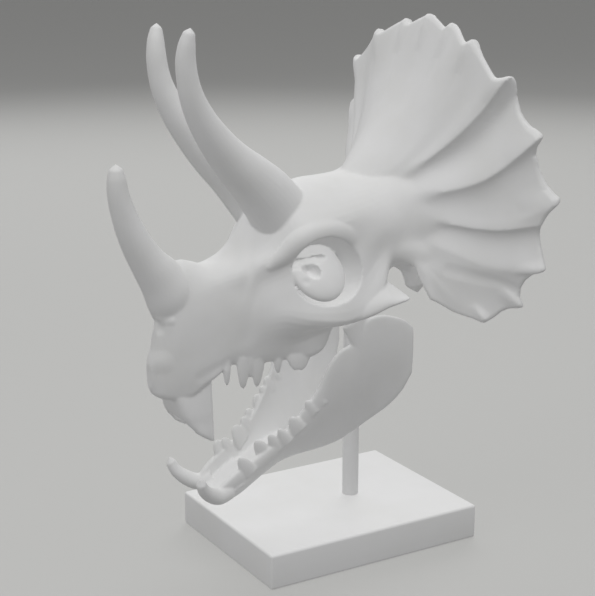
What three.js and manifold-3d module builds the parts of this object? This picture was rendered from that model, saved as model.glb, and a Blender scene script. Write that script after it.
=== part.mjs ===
// Replica of a horned dinosaur skull with open jaws, on a round rod over a rectangular plate.
// Millimetres, +Z up. The snout points to -Y, the animal's left side is +X, and the plane X = 0
// is its plane of symmetry. The origin is the centre of the plate's underside.

import * as THREE from 'three';
import { mergeVertices } from 'three/addons/utils/BufferGeometryUtils.js';
import Module from 'manifold-3d';

const wasm = await Module();
wasm.setup();

// Driving dimensions
const PLATE = { width: 100, depth: 130, height: 19, edge: 1.2 };
const ROD = { radius: 4.5, y: 14.5, top: 160, sides: 24 };
const GAP = 0.3;

// Nasal horn: centre (y, z) and half-widths (across, fore and aft) from root to tip
const NASAL_HORN = [
  { y: -85, z: 138, across: 10.6, along: 15 },
  { y: -92, z: 148, across: 11.6, along: 15.2 },
  { y: -99.6, z: 158.4, across: 10, along: 11.8 },
  { y: -106.7, z: 168, across: 8.6, along: 9.2 },
  { y: -113.2, z: 179.6, across: 7.4, along: 7.7 },
  { y: -118, z: 191.5, across: 6.4, along: 6.5 },
  { y: -121, z: 202.5, across: 5.5, along: 5.5 },
  { y: -121.7, z: 210, across: 4.8, along: 4.8 },
  { y: -121.9, z: 215, across: 3.4, along: 3.4 },
];
const NASAL_TIP = [0, -121.9, 217.8];

// Brow horn on the left side: centre, and half-widths across and along its bend
const BROW_HORN = [
  { at: [9, -36, 187], across: 12.3, along: 16 },
  { at: [10, -45, 197.5], across: 11.8, along: 14.8 },
  { at: [11, -54, 206.3], across: 10.8, along: 12.8 },
  { at: [12, -62.9, 214.2], across: 9.6, along: 11 },
  { at: [12.9, -71, 222.7], across: 8.6, along: 9.4 },
  { at: [14.4, -82, 237.4], across: 7.1, along: 7.4 },
  { at: [15.5, -88, 249.4], across: 6, along: 6.1 },
  { at: [16, -90.4, 258.5], across: 5.4, along: 5.4 },
  { at: [16.3, -91.3, 267], across: 5, along: 5 },
  { at: [17.2, -90.9, 274.5], across: 4.2, along: 4.2 },
  { at: [18.1, -90, 280], across: 2.9, along: 2.9 },
];
const BROW_TIP = [18.7, -89.5, 282.6];

// Skull body: half-sections from snout to occiput, each as (x, z) pairs that run from the top of
// the midline over brow, side, cheek and lip to the palate
const SKULL_SECTIONS = [
  { y: -107.4, half: [[0, 114.5], [1.2, 114], [2.2, 112.8], [2.8, 111.3], [3, 109.5], [3, 107.7],
    [2.8, 105.9], [2.4, 104.2], [1.9, 103], [1.1, 102.2], [0, 102]] },
  { y: -105.6, half: [[0, 121.5], [2.4, 120.8], [4.2, 118.4], [5.2, 115], [5.7, 111.5], [5.7, 108],
    [5.4, 104.6], [4.8, 101.8], [3.9, 99.6], [2.2, 98.4], [0, 98.4]] },
  { y: -103, half: [[0, 139], [3.6, 137.4], [6.4, 132], [8, 125.5], [8.9, 119], [9.1, 113],
    [8.9, 108], [8.4, 103], [7.2, 98.6], [4.2, 96.6], [0, 96.6]] },
  { y: -97, half: [[0, 160], [5.2, 156], [8.8, 146], [10.8, 134], [11.6, 125], [11.8, 116],
    [11.8, 109.5], [11.4, 103], [10.2, 97], [6.5, 95.5], [0, 96]] },
  { y: -90, half: [[0, 166.4], [5.6, 163], [10.4, 152.5], [13, 140], [14, 129], [14.3, 119],
    [14.4, 111.5], [14, 104], [13, 97.8], [8.5, 96.5], [0, 98]] },
  { y: -83, half: [[0, 165.2], [6.4, 162.4], [11.8, 154.4], [14.8, 144], [15.9, 133], [16.2, 123],
    [16.3, 115.6], [16, 108.6], [15.2, 103.2], [10, 101.8], [0, 104]] },
  { y: -76, half: [[0, 163], [6.9, 161.8], [13, 156.2], [15.9, 147], [17.4, 137], [17.9, 127],
    [18, 120], [17.7, 113.8], [17, 108.6], [12, 107.5], [0, 111]] },
  { y: -70, half: [[0, 164.4], [7.5, 163], [13.8, 158], [16.8, 149], [18.3, 140], [18.9, 131],
    [19, 125], [18.6, 119], [17.9, 113.5], [13, 112.5], [0, 117]] },
  { y: -62, half: [[0, 170.6], [7.5, 168], [15.8, 161], [18.6, 152.5], [20.3, 144], [20.8, 135],
    [20.6, 128], [20, 121], [19.2, 113.8], [14, 113], [0, 119]] },
  { y: -55, half: [[0, 180], [8.5, 175.4], [18, 165.2], [20.8, 157], [23.1, 149], [24.2, 141],
    [24.2, 133], [22.6, 124], [20.4, 114], [15, 113.5], [0, 120]] },
  { y: -46, half: [[0, 193], [10.5, 188], [19, 178], [24.4, 168.5], [25.8, 158], [29.4, 146],
    [29.6, 135.5], [25, 125.5], [21.8, 114], [16, 114], [0, 121]] },
  { y: -36, half: [[0, 198.5], [11.5, 195], [21.5, 187], [28.6, 179], [30, 162], [34.5, 146],
    [35.5, 133.5], [26.5, 126.5], [23.4, 114], [17.5, 114.5], [0, 122]] },
  { y: -26, half: [[0, 200.6], [12, 197.6], [23.5, 190.6], [31.2, 181.6], [31.5, 164], [37, 147.5],
    [39, 132], [29, 127], [25, 114], [19, 115], [0, 123]] },
  { y: -19, half: [[0, 201.3], [12, 198.8], [24, 192.2], [32.2, 183], [32.5, 166], [39, 149],
    [41, 131.5], [31, 129], [25.5, 116], [20, 117], [0, 125]] },
  { y: -14, half: [[0, 201.8], [12, 199.6], [24, 193.4], [32.6, 183.4], [33, 167], [40, 150],
    [42, 132], [34, 132], [27, 131], [19, 131], [0, 132]] },
  { y: -3, half: [[0, 202], [12, 200.2], [23.8, 195], [32.2, 185.6], [34.6, 172], [38, 154],
    [42.5, 136], [36, 135], [27, 135], [18, 136], [0, 137]] },
  { y: 8, half: [[0, 202.2], [12, 201], [23, 196.6], [31, 188], [34.8, 176.5], [35.2, 163],
    [40.5, 147], [34, 142], [27, 141], [18, 142], [0, 143]] },
  { y: 17, half: [[0, 203.2], [12, 202.4], [23, 199], [31, 191], [35.4, 181], [36, 171],
    [34.6, 160], [28, 151.5], [20, 149], [10, 148], [0, 147]] },
  { y: 26, half: [[0, 207], [11, 207], [22, 203.5], [31, 196], [36, 185], [37.5, 173],
    [36, 164], [28, 158], [18, 156], [8, 155], [0, 155]] },
  { y: 32, half: [[0, 209], [10, 209], [21, 205], [32, 198], [39, 187], [40.5, 175],
    [38, 167], [29, 163], [18, 160], [8, 158], [0, 158]] },
  { y: 38, half: [[0, 206], [9, 206], [20, 203], [33, 197], [42.5, 187], [44, 177],
    [40, 169], [29, 165], [18, 163], [8, 162], [0, 162]] },
];

// Frill: one rib for each rim spike from the midline to the cheek, as points from root to tip,
// then the sag of the panel that follows it and the depth of the rim's scallop after it
const FRILL_RIBS = [
  { path: [[0, 11, 197], [0, 32.5, 222], [0, 50.5, 250], [0, 63.4, 282.8]], sag: 0.5, scallop: 3.4 },
  { path: [[8, 13, 196], [13.5, 33.5, 221], [18, 50, 249], [20.4, 62.9, 278.9]], sag: 0.8, scallop: 5 },
  { path: [[15, 19, 196], [26, 37, 217.5], [35.5, 50, 243.5], [42.6, 59.6, 272.2]], sag: 2, scallop: 8 },
  {
    path: [[18, 24, 194.5], [37.5, 41, 213.5], [54.5, 52, 232.5], [69.3, 62.8, 255.6]],
    sag: 4.2,
    scallop: 6,
  },
  { path: [[18, 18, 184], [42, 39, 193.5], [64, 53, 203.5], [85, 71, 227]], sag: 3.4, scallop: 9 },
  { path: [[20, 20, 179], [45, 41, 177], [68, 55.5, 177], [92, 79.5, 195.3]], sag: 3.0, scallop: 8 },
  { path: [[22, 20, 172], [47, 41.5, 162.5], [68, 57, 157.5], [88, 74.5, 159.4]], sag: 1.6, scallop: 6 },
  { path: [[24, 20, 168], [46, 39.5, 157.5], [64, 55, 152.5], [78, 69, 138.4]], sag: 1.2, scallop: 5 },
  { path: [[26, 19, 168], [44, 35.5, 154.5], [55, 46, 143.5], [65, 54, 129]], sag: 0.4, scallop: 2 },
  { path: [[27, 16, 168], [41.5, 31, 157], [48.5, 37.5, 146.5], [53, 43, 133]], sag: 0, scallop: 0 },
  { path: [[28, 12, 169], [38, 25, 162], [43.5, 30.5, 154.5], [47, 31.5, 144]], sag: 0, scallop: 0 },
];
// Slices between two ribs, steps from root to rim, half-thicknesses, the share of them kept at the
// fan's two ends, how far out the panels are deepest, the power by which scallops bite at the rim
// only, the height of the hub that they bite towards, and the step for slopes
const FRILL = {
  steps: 3, radial: 6, rootHalf: 4, midHalf: 2.3, rimHalf: 1.5, endShare: 0.55, sagReach: 0.8, bite: 4,
  hub: 190, slope: 0.04,
};

// Cheek spur behind the eye: stations of (y, inner x, outer x, lower z, upper z)
const CHEEK_SPUR = [
  { y: -12, x: [30, 42], z: [131.5, 156] },
  { y: -1, x: [32, 44.6], z: [134.6, 158.4] },
  { y: 7, x: [33, 46.4], z: [138, 157.6] },
  { y: 13, x: [36.5, 47.4], z: [140, 151.5] },
  { y: 18, x: [42, 48], z: [141.4, 145.5] },
];
const CHEEK_TIP = [47.6, 20.4, 142.6];

// Bar of bone from the eye socket back to the lower corner of the frill
const TEMPORAL_BAR = [
  { at: [27, -4, 171], across: 5, along: 8 },
  { at: [29, 8, 168.5], across: 5, along: 8 },
  { at: [31.5, 18, 166], across: 4.6, along: 7.5 },
  { at: [36, 27, 164.5], across: 4, along: 6.6 },
  { at: [41, 34, 162.5], across: 3, along: 5.5 },
];
const TEMPORAL_TIP = [46, 39, 161];

// Ridge that hoods the eye socket from its front corner to its rear corner
const BROW_RIDGE = [
  { at: [18, -56, 159.5], across: 2.2, along: 2.2 },
  { at: [21, -49, 163.4], across: 3.6, along: 3.8 },
  { at: [24, -42, 168.8], across: 5, along: 5.8 },
  { at: [26.6, -33, 176], across: 6.2, along: 7 },
  { at: [28, -21, 178.4], across: 6.2, along: 7.2 },
  { at: [29.2, -11, 177], across: 5.6, along: 6.8 },
  { at: [30, -4, 171.5], across: 4.4, along: 5.6 },
];
const BROW_RIDGE_TIP = [31, -1, 164];

// Eye socket: an ellipsoid sunk into the side of the skull, and the tilted bulge that rises in it, with
// the slot along its top and the pit in its front
const SOCKET = { at: [36, -22.5, 159.5], radii: [16, 19, 17], tilt: -0.2 };
const SOCKET_BULGE = { at: [28.4, -24.6, 158.2], radii: [6, 15, 15.6], tilt: -0.6 };
const SOCKET_CUTS = [
  { at: [33, -28, 172.4], radii: [11.5, 12, 7] },
  { at: [34, -31, 160.4], radii: [5.4, 5.6, 4.2], tilt: -0.3 },
];

// Hook of bone that hangs behind the cheek, seen through the gap under the frill
const QUADRATE = [
  { at: [27, 16, 166], across: 5, along: 6 },
  { at: [28, 25, 160.5], across: 5.4, along: 6 },
  { at: [28.4, 32, 156], across: 5.6, along: 6.4 },
  { at: [28.5, 35.4, 150], across: 5.4, along: 6.7 },
  { at: [28.5, 36.6, 144.4], across: 4.8, along: 6.2 },
];
const QUADRATE_TIP = [28.4, 37.6, 138.8];

// Beak: horizontal sections of (z, front y, half-width at the front, half-width at the back)
const BEAK = [
  { z: 110, front: -98, nose: 4, back: 13 },
  { z: 100, front: -98.6, nose: 6.5, back: 13.6 },
  { z: 94, front: -97.6, nose: 8.6, back: 14.4 },
  { z: 88.6, front: -95.8, nose: 9, back: 15 },
  { z: 83.8, front: -93, nose: 9.2, back: 15.4 },
  { z: 79.2, front: -88.8, nose: 10.6, back: 15.8 },
  { z: 76, front: -85, nose: 12.4, back: 15.9 },
  { z: 73.2, front: -81.2, nose: 14, back: 15.8 },
];
const BEAK_BACK = -79;
// How far the beak's front and sides swell beyond straight lines
const BEAK_SWELL = 0.8;
const BEAK_HOLLOW = [
  { z: 100, front: -82, nose: 1, back: 3 },
  { z: 90, front: -86, nose: 5, back: 9.5 },
  { z: 81, front: -85.5, nose: 8.6, back: 11.6 },
  { z: 70, front: -86.5, nose: 11.2, back: 12.8 },
];

// Upper teeth on the left: place of the root along the jaw, tip and half-length along the jaw
const UPPER_TEETH = [
  { y: -71.6, tip: [17, -71.8, 101.6], half: 2.6 },
  { y: -62.6, tip: [18, -63.1, 98.8], half: 4.1 },
  { y: -54.4, tip: [18.8, -55.4, 98.8], half: 4.1 },
  { y: -44, tip: [21, -44.2, 105], half: 3 },
  { y: -34, tip: [23.8, -33.6, 105.4], half: 7 },
];
const LIP = { y: [-80, -70, -58, -48, -38, -26], x: [15.2, 16.6, 18.4, 20, 21.8, 23.6], z: 116, across: 2 };

// Lower jaw, left half: sections with their lower and upper edges as (x, z), how far the outer
// side bulges between them, and the thickness
const JAW_PLATE = [
  { y: -77, low: [6.6, 34.4], high: [12.8, 42], bulge: 1.2, thick: 4.6 },
  { y: -70, low: [8.9, 34.6], high: [14.4, 47], bulge: 1.4, thick: 4.6 },
  { y: -62, low: [10.1, 37.6], high: [15.2, 52.6], bulge: 1.6, thick: 4.6 },
  { y: -53, low: [10.5, 43.1], high: [16, 57.4], bulge: 1.8, thick: 4.6 },
  { y: -45, low: [10.9, 48], high: [17.2, 64], bulge: 2, thick: 4.4 },
  { y: -37.5, low: [11.6, 52], high: [19.2, 72], bulge: 2.2, thick: 4.2 },
  { y: -30, low: [12.9, 54.3], high: [22.2, 81], bulge: 2.4, thick: 4 },
  { y: -22.6, low: [14.4, 55.6], high: [26, 92.4], bulge: 2.6, thick: 3.8 },
  { y: -17, low: [16, 56.8], high: [29.4, 107], bulge: 2.8, thick: 3.8 },
  { y: -11.6, low: [17.7, 58.3], high: [31.4, 114], bulge: 3, thick: 4.2 },
  { y: -5.6, low: [19.9, 60.7], high: [33, 117.5], bulge: 3, thick: 4.6 },
  { y: 2, low: [22.6, 65.5], high: [35, 129], bulge: 3, thick: 5 },
  { y: 10, low: [26.1, 72], high: [36.4, 131.5], bulge: 2.6, thick: 5.2 },
  { y: 18, low: [30.9, 79.5], high: [37.2, 130], bulge: 1.8, thick: 5.2 },
  { y: 24, low: [34.6, 87.9], high: [37.6, 127.5], bulge: 0.8, thick: 4.8 },
  { y: 28.5, low: [37, 98], high: [37.8, 123.5], bulge: 0.2, thick: 4 },
];
// Floor of the trough between the two plates, as sections of (y, half-width, lower z, upper z)
const JAW_FLOOR = [
  { y: -60, half: 11.5, z: [40, 47] },
  { y: -50, half: 11.5, z: [46, 51.5] },
  { y: -40, half: 12, z: [51.6, 56.4] },
  { y: -31, half: 13, z: [54.8, 59] },
  { y: -25, half: 13.5, z: [57, 60] },
];

// Coronoid process: the tongue of bone that leans forward inside the cheek
const CORONOID = [
  { at: [31.5, 3, 112], across: 2.4, along: 9 },
  { at: [31, -1, 124], across: 2.6, along: 9.2 },
  { at: [30, -3, 132], across: 2.8, along: 9 },
];
const CORONOID_TIP = [29.5, -3, 142];

// Chin trough that joins the two halves: (y, half-width, lower z, upper z)
const CHIN = [
  { y: -76.8, half: 4.5, z: [35.6, 39] },
  { y: -74.4, half: 9.4, z: [33.8, 40.4] },
  { y: -70, half: 12.8, z: [34.4, 42] },
  { y: -62, half: 14.5, z: [39.4, 46.5] },
  { y: -55, half: 14.5, z: [44.6, 50.5] },
];

// Front spur of the lower jaw on the left
const JAW_SPUR = [
  { at: [10.5, -68, 41.5], across: 4.4, along: 4.6 },
  { at: [12.2, -75, 40.4], across: 4.6, along: 4.4 },
  { at: [14.4, -81, 43.2], across: 4, along: 4 },
  { at: [16.4, -85.6, 47.4], across: 3.3, along: 3.3 },
  { at: [18, -88, 52], across: 2.7, along: 2.7 },
];
const JAW_SPUR_TIP = [18.7, -88.2, 55.2];

// Lower teeth from front to back: tip on the left, half-length along the jaw, and whether the left side
// has lost it
const LOWER_TEETH = [
  { tip: [13.7, -63.8, 60.3], half: 4.8 },
  { tip: [13, -59.4, 61.6], half: 3.6, lost: true },
  { tip: [12.3, -53.2, 67.2], half: 4.8 },
  { tip: [15.1, -46.5, 70.2], half: 4.2 },
  { tip: [17.7, -42.2, 73.4], half: 3.8 },
  { tip: [19.8, -36.1, 79.4], half: 4.8 },
  { tip: [21, -31.4, 83.8], half: 3.2, lost: true },
  { tip: [22.2, -28, 88], half: 4 },
  { tip: [24.3, -22.8, 92.6], half: 3.2 },
];
// How far the roots reach down at the front and at the back, the way from tip to root for each
// millimetre of that, the sideways lean, half-width, and the directions along and across the jaw
const LOWER_ROOT = { reach: [9, 6], back: 0.75, down: 1.15, lean: 0.6, across: 2.4 };
const TOOTH_ROW = { run: [0.3, 0.68, 0.67], across: [1, -0.3, 0] };
// Rings of a tooth as (share of its height, share of its root's size), and the sides of a ring
const TOOTH_RINGS = [[0, 1], [0.72, 0.68]];
const TOOTH_SIDES = 6;

// Outlines from 0 to 1: cheek spur (inwards to outwards, low to high), jaw plate (outwards to inwards,
// low to high) and half-width by height of a trough
const SPUR_OUTLINE = [
  [0, 0.2], [0.2, 0], [0.75, 0], [1, 0.08], [0.96, 0.24], [0.62, 0.54], [0.3, 0.82], [0.02, 1],
];
const PLATE_OUTLINE = [
  [0.5, 0], [0.05, 0.04], [0, 0.3], [0, 0.7], [0.15, 0.97], [0.5, 1],
  [0.85, 0.97], [1, 0.7], [1, 0.3], [0.95, 0.04],
];
const TROUGH_OUTLINE = [
  [-1, 0.85], [-0.8, 0.25], [-0.4, 0], [0.4, 0], [0.8, 0.25], [1, 0.85], [0.7, 1], [0, 0.9], [-0.7, 1],
];

// Facets around and along each rounded form
const FACETS = {
  body: [24, 22], nasalHorn: [12, 9], browHorn: [12, 11], browRidge: [8, 6], temporalBar: [10, 4],
  quadrate: [8, 5], coronoid: [8, 3], jawSpur: [8, 6], socket: [16, 9], bulge: [12, 7], socketCut: [8, 5],
};

/** Point in space. */
function point(x, y, z) {
  return new THREE.Vector3(x, y, z);
}

/** Mean of a list of points. */
function centre(points) {
  const sum = point(0, 0, 0);
  points.forEach((p) => sum.add(p));
  return sum.divideScalar(points.length);
}

/** Closed skin over rings of equally many points, from the rows and columns of a sphere. */
function skin(rings, startPole = centre(rings[0]), endPole = centre(rings[rings.length - 1])) {
  const around = rings[0].length;
  const geometry = new THREE.SphereGeometry(1, around, rings.length + 1);
  const position = geometry.getAttribute('position');
  for (let row = 0; row <= rings.length + 1; row += 1) {
    for (let column = 0; column <= around; column += 1) {
      let p = startPole;
      if (row > rings.length) p = endPole;
      else if (row > 0) p = rings[row - 1][column % around];
      position.setXYZ(row * (around + 1) + column, p.x, p.y, p.z);
    }
  }
  return geometry;
}

/** Six times the signed volume of an indexed closed mesh. */
function signedVolume(position, index) {
  const [a, b, c] = [point(0, 0, 0), point(0, 0, 0), point(0, 0, 0)];
  let total = 0;
  for (let i = 0; i < index.length; i += 3) {
    a.fromBufferAttribute(position, index[i]);
    b.fromBufferAttribute(position, index[i + 1]);
    c.fromBufferAttribute(position, index[i + 2]);
    total += a.dot(b.cross(c));
  }
  return total;
}

/** Solid for joining and cutting, from a closed geometry, with its faces turned outwards. */
function solid(geometry) {
  geometry.deleteAttribute('normal');
  geometry.deleteAttribute('uv');
  const merged = mergeVertices(geometry, 1e-4);
  const position = merged.getAttribute('position');
  const index = Array.from(merged.getIndex().array);
  if (signedVolume(position, index) < 0) index.reverse();
  const vertProperties = Float32Array.from(position.array);
  return new wasm.Manifold(new wasm.Mesh({ numProp: 3, vertProperties, triVerts: Uint32Array.from(index) }));
}

/** The solid and its mirror image across the plane of symmetry. */
function pair(geometry) {
  return [solid(geometry.clone()), solid(geometry.clone().scale(-1, 1, 1))];
}

/** All the solids of a list joined into one. */
function join(solids) {
  return solids.reduce((whole, part) => whole.add(part));
}

/** Values at an even spread of places along a list, smoothly interpolated. */
function smoothPath(points, count) {
  return new THREE.CatmullRomCurve3(points, false, 'centripetal').getPoints(count);
}

/** Closed ring of points through a few control points. */
function smoothRing(points, count) {
  return new THREE.CatmullRomCurve3(points, true, 'centripetal').getPoints(count).slice(0, count);
}

/** Tapered solid along a bent spine of stations with an oval section, ending in a rounded tip. */
function taper(stations, tip, [around, steps]) {
  const spine = new THREE.CatmullRomCurve3(stations.map((s) => point(...s.at)));
  const sizes = new THREE.CatmullRomCurve3(stations.map((s) => point(s.across, s.along, 0)));
  const rings = [];
  for (let step = 0; step <= steps; step += 1) {
    const t = step / steps;
    const at = spine.getPoint(t);
    const tangent = spine.getTangent(t);
    const across = point(1, 0, 0).addScaledVector(tangent, -tangent.x).normalize();
    const along = new THREE.Vector3().crossVectors(tangent, across);
    const size = sizes.getPoint(t);
    const ring = [];
    for (let k = 0; k < around; k += 1) {
      const angle = (k / around) * 2 * Math.PI;
      ring.push(at.clone()
        .addScaledVector(across, size.x * Math.cos(angle))
        .addScaledVector(along, size.y * Math.sin(angle)));
    }
    rings.push(ring);
  }
  return skin(rings, undefined, point(...tip));
}

/** Ellipsoid, turned about the Y axis. */
function ellipsoid({ at, radii, tilt = 0 }, [around, rows]) {
  return new THREE.SphereGeometry(1, around, rows).scale(...radii).rotateY(tilt).translate(...at);
}

/** Body skinned over half-sections that are mirrored across the plane of symmetry. */
function symmetricBody(sections, [around, steps]) {
  const lines = sections[0].half.map((_, k) => smoothPath(
    sections.map(({ y, half }) => point(half[k][0], y, half[k][1])), steps));
  const rings = [];
  for (let step = 0; step <= steps; step += 1) {
    const left = lines.map((line) => line[step]);
    const right = left.slice(1, -1).reverse().map((p) => point(-p.x, p.y, p.z));
    rings.push(smoothRing([...left, ...right], around));
  }
  return skin(rings);
}

/** Depth of a hollow that is 1 halfway between two ribs and 0 on them. */
function hollow(u) {
  return 1 - (2 * u - 1) ** 2;
}

/** Middle surface of the frill at rib coordinate s (0 is the midline) and radius r from 0 to 1. */
function frillSurface(s, r) {
  const side = Math.sign(s) || 1;
  const last = FRILL_RIBS.length - 1;
  const first = Math.min(Math.floor(Math.abs(s)), last - 1);
  const u = Math.abs(s) - first;
  const onRib = (k) => {
    const rib = FRILL_RIBS[Math.abs(Math.min(k, last))];
    const p = new THREE.CatmullRomCurve3(rib.path.map((q) => point(...q))).getPoint(r);
    if (k < 0) p.x *= -1;
    return p;
  };
  const around = [first - 1, first, first + 1, first + 2].map(onRib);
  const smooth = new THREE.CatmullRomCurve3(around).getPoint((1 + u) / 3);
  const straight = around[1].clone().lerp(around[2], u);
  const p = smooth.lerp(straight, r ** 3);
  const inward = onRib(first).lerp(onRib(first + 1), 0.5).sub(point(0, 0, FRILL.hub)).normalize();
  p.addScaledVector(inward, -FRILL_RIBS[first].scallop * hollow(u) * r ** FRILL.bite);
  p.x *= side;
  return p;
}

/** Half-thickness of the frill at rib coordinate s and radius r. */
function frillHalf(s, r, last) {
  const { rootHalf, midHalf, rimHalf, endShare } = FRILL;
  const half = r < 0.5
    ? THREE.MathUtils.lerp(rootHalf, midHalf, r * 2)
    : THREE.MathUtils.lerp(midHalf, rimHalf, r * 2 - 1);
  return half * THREE.MathUtils.lerp(1, endShare, THREE.MathUtils.smoothstep(Math.abs(s), last - 2, last));
}

/** Fan of the frill: slices from root to rim, each with a front and a back face. */
function frill() {
  const last = FRILL_RIBS.length - 1;
  const rings = [];
  for (let i = -last * FRILL.steps; i <= last * FRILL.steps; i += 1) {
    const s = i / FRILL.steps;
    const first = Math.min(Math.floor(Math.abs(s)), last - 1);
    const u = Math.abs(s) - first;
    const front = [];
    const back = [];
    for (let k = 0; k <= FRILL.radial; k += 1) {
      const r = k / FRILL.radial;
      const p = frillSurface(s, r);
      const outward = frillSurface(s, Math.min(r + FRILL.slope, 1))
        .sub(frillSurface(s, Math.max(r - FRILL.slope, 0)));
      const turn = frillSurface(s + FRILL.slope, r).sub(frillSurface(s - FRILL.slope, r));
      const normal = new THREE.Vector3().crossVectors(outward, turn).normalize();
      if (normal.y > 0) normal.negate();
      const sag = FRILL_RIBS[first].sag * hollow(u) * Math.sin(Math.PI / 2 * Math.min(r / FRILL.sagReach, 1));
      const half = frillHalf(s, r, last);
      front.push(p.clone().addScaledVector(normal, half - sag));
      back.push(p.clone().addScaledVector(normal, -half - sag));
    }
    rings.push([...front, ...back.reverse()]);
  }
  return skin(rings);
}

/** Flange skinned over upright sections that slope down to their outer edge. */
function flange(stations, tip) {
  const rings = stations.map(({ y, x, z }) => SPUR_OUTLINE.map(([outward, rise]) => point(
    THREE.MathUtils.lerp(x[0], x[1], outward),
    y,
    THREE.MathUtils.lerp(z[0], z[1], rise))));
  return skin(rings, undefined, tip);
}

/** Wedge skinned over horizontal sections, narrow at the front and wide at the back. */
function wedge(sections, backY) {
  const rings = sections.map(({ z, front, nose, back }) => {
    const side = (nose + back) / 2 + BEAK_SWELL;
    const middle = (front + backY) / 2;
    return [
      point(-back, backY, z), point(-side, middle, z), point(-nose, front, z),
      point(0, front - BEAK_SWELL, z), point(nose, front, z), point(side, middle, z), point(back, backY, z),
    ];
  });
  return skin(rings);
}

/** Pointed tooth with an oval root. */
function tooth(root, tip, along, across, halfLength, halfWidth) {
  const axis = tip.clone().sub(root);
  const rings = TOOTH_RINGS.map(([rise, size]) => {
    const ring = [];
    for (let k = 0; k < TOOTH_SIDES; k += 1) {
      const angle = (k / TOOTH_SIDES) * 2 * Math.PI;
      ring.push(root.clone().addScaledVector(axis, rise)
        .addScaledVector(along, Math.cos(angle) * halfLength * size)
        .addScaledVector(across, Math.sin(angle) * halfWidth * size));
    }
    return ring;
  });
  return skin(rings, undefined, tip);
}

/** Value at y on a line through a list of places. */
function along(y, places, values) {
  let k = 0;
  while (k < places.length - 2 && y > places[k + 1]) k += 1;
  return THREE.MathUtils.mapLinear(y, places[k], places[k + 1], values[k], values[k + 1]);
}

/** Cranium: skull body, frill, horns, cheeks, beak and upper teeth, with its openings cut. */
function cranium() {
  const nasal = NASAL_HORN.map(({ y, z, across, along: deep }) => ({ at: [0, y, z], across, along: deep }));
  const upperTeeth = UPPER_TEETH.flatMap(({ y, tip, half }) => {
    const root = point(along(y, LIP.y, LIP.x), y, LIP.z);
    return pair(tooth(root, point(...tip), point(0, 1, 0), point(1, 0, 0), half, LIP.across));
  });
  const beak = solid(wedge(BEAK, BEAK_BACK)).subtract(solid(wedge(BEAK_HOLLOW, BEAK_BACK + 2)));
  const body = join([
    solid(symmetricBody(SKULL_SECTIONS, FACETS.body)),
    ...pair(taper(BROW_RIDGE, BROW_RIDGE_TIP, FACETS.browRidge)),
    ...pair(taper(TEMPORAL_BAR, TEMPORAL_TIP, FACETS.temporalBar)),
    ...pair(flange(CHEEK_SPUR, point(...CHEEK_TIP))),
  ]).subtract(join(pair(ellipsoid(SOCKET, FACETS.socket))));
  const bulges = join(pair(ellipsoid(SOCKET_BULGE, FACETS.bulge)))
    .subtract(join(SOCKET_CUTS.flatMap((cut) => pair(ellipsoid(cut, FACETS.socketCut)))));
  return join([
    body,
    bulges,
    solid(frill()),
    solid(taper(nasal, NASAL_TIP, FACETS.nasalHorn)),
    ...pair(taper(BROW_HORN, BROW_TIP, FACETS.browHorn)),
    ...pair(taper(QUADRATE, QUADRATE_TIP, FACETS.quadrate)),
    beak,
    ...upperTeeth,
  ]);
}

/** Sections of a trough floor: flat below, a little hollow above. */
function trough(sections) {
  return skin(sections.map(({ y, half, z }) => TROUGH_OUTLINE.map(
    ([across, rise]) => point(across * half, y, THREE.MathUtils.lerp(z[0], z[1], rise)))));
}

/** Tall plate of the left half of the lower jaw. */
function jawPlate() {
  return skin(JAW_PLATE.map(({ y, low, high, bulge, thick }) => PLATE_OUTLINE.map(([inward, rise]) => point(
    THREE.MathUtils.lerp(low[0], high[0], rise) + bulge * hollow(rise) - inward * thick,
    y,
    THREE.MathUtils.lerp(low[1], high[1], rise)))));
}

/** Teeth of both halves of the lower jaw. */
function lowerTeeth() {
  const run = point(...TOOTH_ROW.run).normalize();
  const across = point(...TOOTH_ROW.across).normalize();
  return LOWER_TEETH.flatMap(({ tip, half, lost }, k) => {
    const end = point(...tip);
    const reach = THREE.MathUtils.lerp(...LOWER_ROOT.reach, k / LOWER_TEETH.length);
    const root = end.clone().add(point(LOWER_ROOT.lean, reach * LOWER_ROOT.back, -reach * LOWER_ROOT.down));
    const [left, right] = pair(tooth(root, end, run, across, half, LOWER_ROOT.across));
    return lost ? [right] : [left, right];
  });
}

/** Lower jaw: two tall plates, the trough that joins them, two spurs and two rows of teeth. */
function lowerJaw(skull) {
  return clearOf(skull, join([
    ...pair(jawPlate()),
    ...pair(taper(CORONOID, CORONOID_TIP, FACETS.coronoid)),
    solid(trough(CHIN)),
    solid(trough(JAW_FLOOR)),
    ...pair(taper(JAW_SPUR, JAW_SPUR_TIP, FACETS.jawSpur)),
    ...lowerTeeth(),
  ]));
}

/** Plate with its upper and upright edges slightly bevelled. */
function basePlate() {
  const { width, depth, height, edge } = PLATE;
  const outline = new THREE.Shape();
  const [x, y] = [width / 2 - edge, depth / 2 - edge];
  outline.moveTo(-x, -y);
  outline.lineTo(x, -y);
  outline.lineTo(x, y);
  outline.lineTo(-x, y);
  outline.closePath();
  const settings = {
    depth: height - 2 * edge, bevelEnabled: true, bevelThickness: edge, bevelSize: edge, bevelSegments: 2,
  };
  return solid(new THREE.ExtrudeGeometry(outline, settings).translate(0, 0, edge));
}

/** What is left of a solid once its neighbour is cut from it with a gap between them. */
function clearOf(neighbour, shape) {
  const shifts = [[0, 0, -GAP], [GAP, 0, 0], [-GAP, 0, 0], [0, GAP, 0], [0, -GAP, 0]];
  return shifts.reduce((left, shift) => left.subtract(neighbour.translate(shift)), shape);
}

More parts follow.
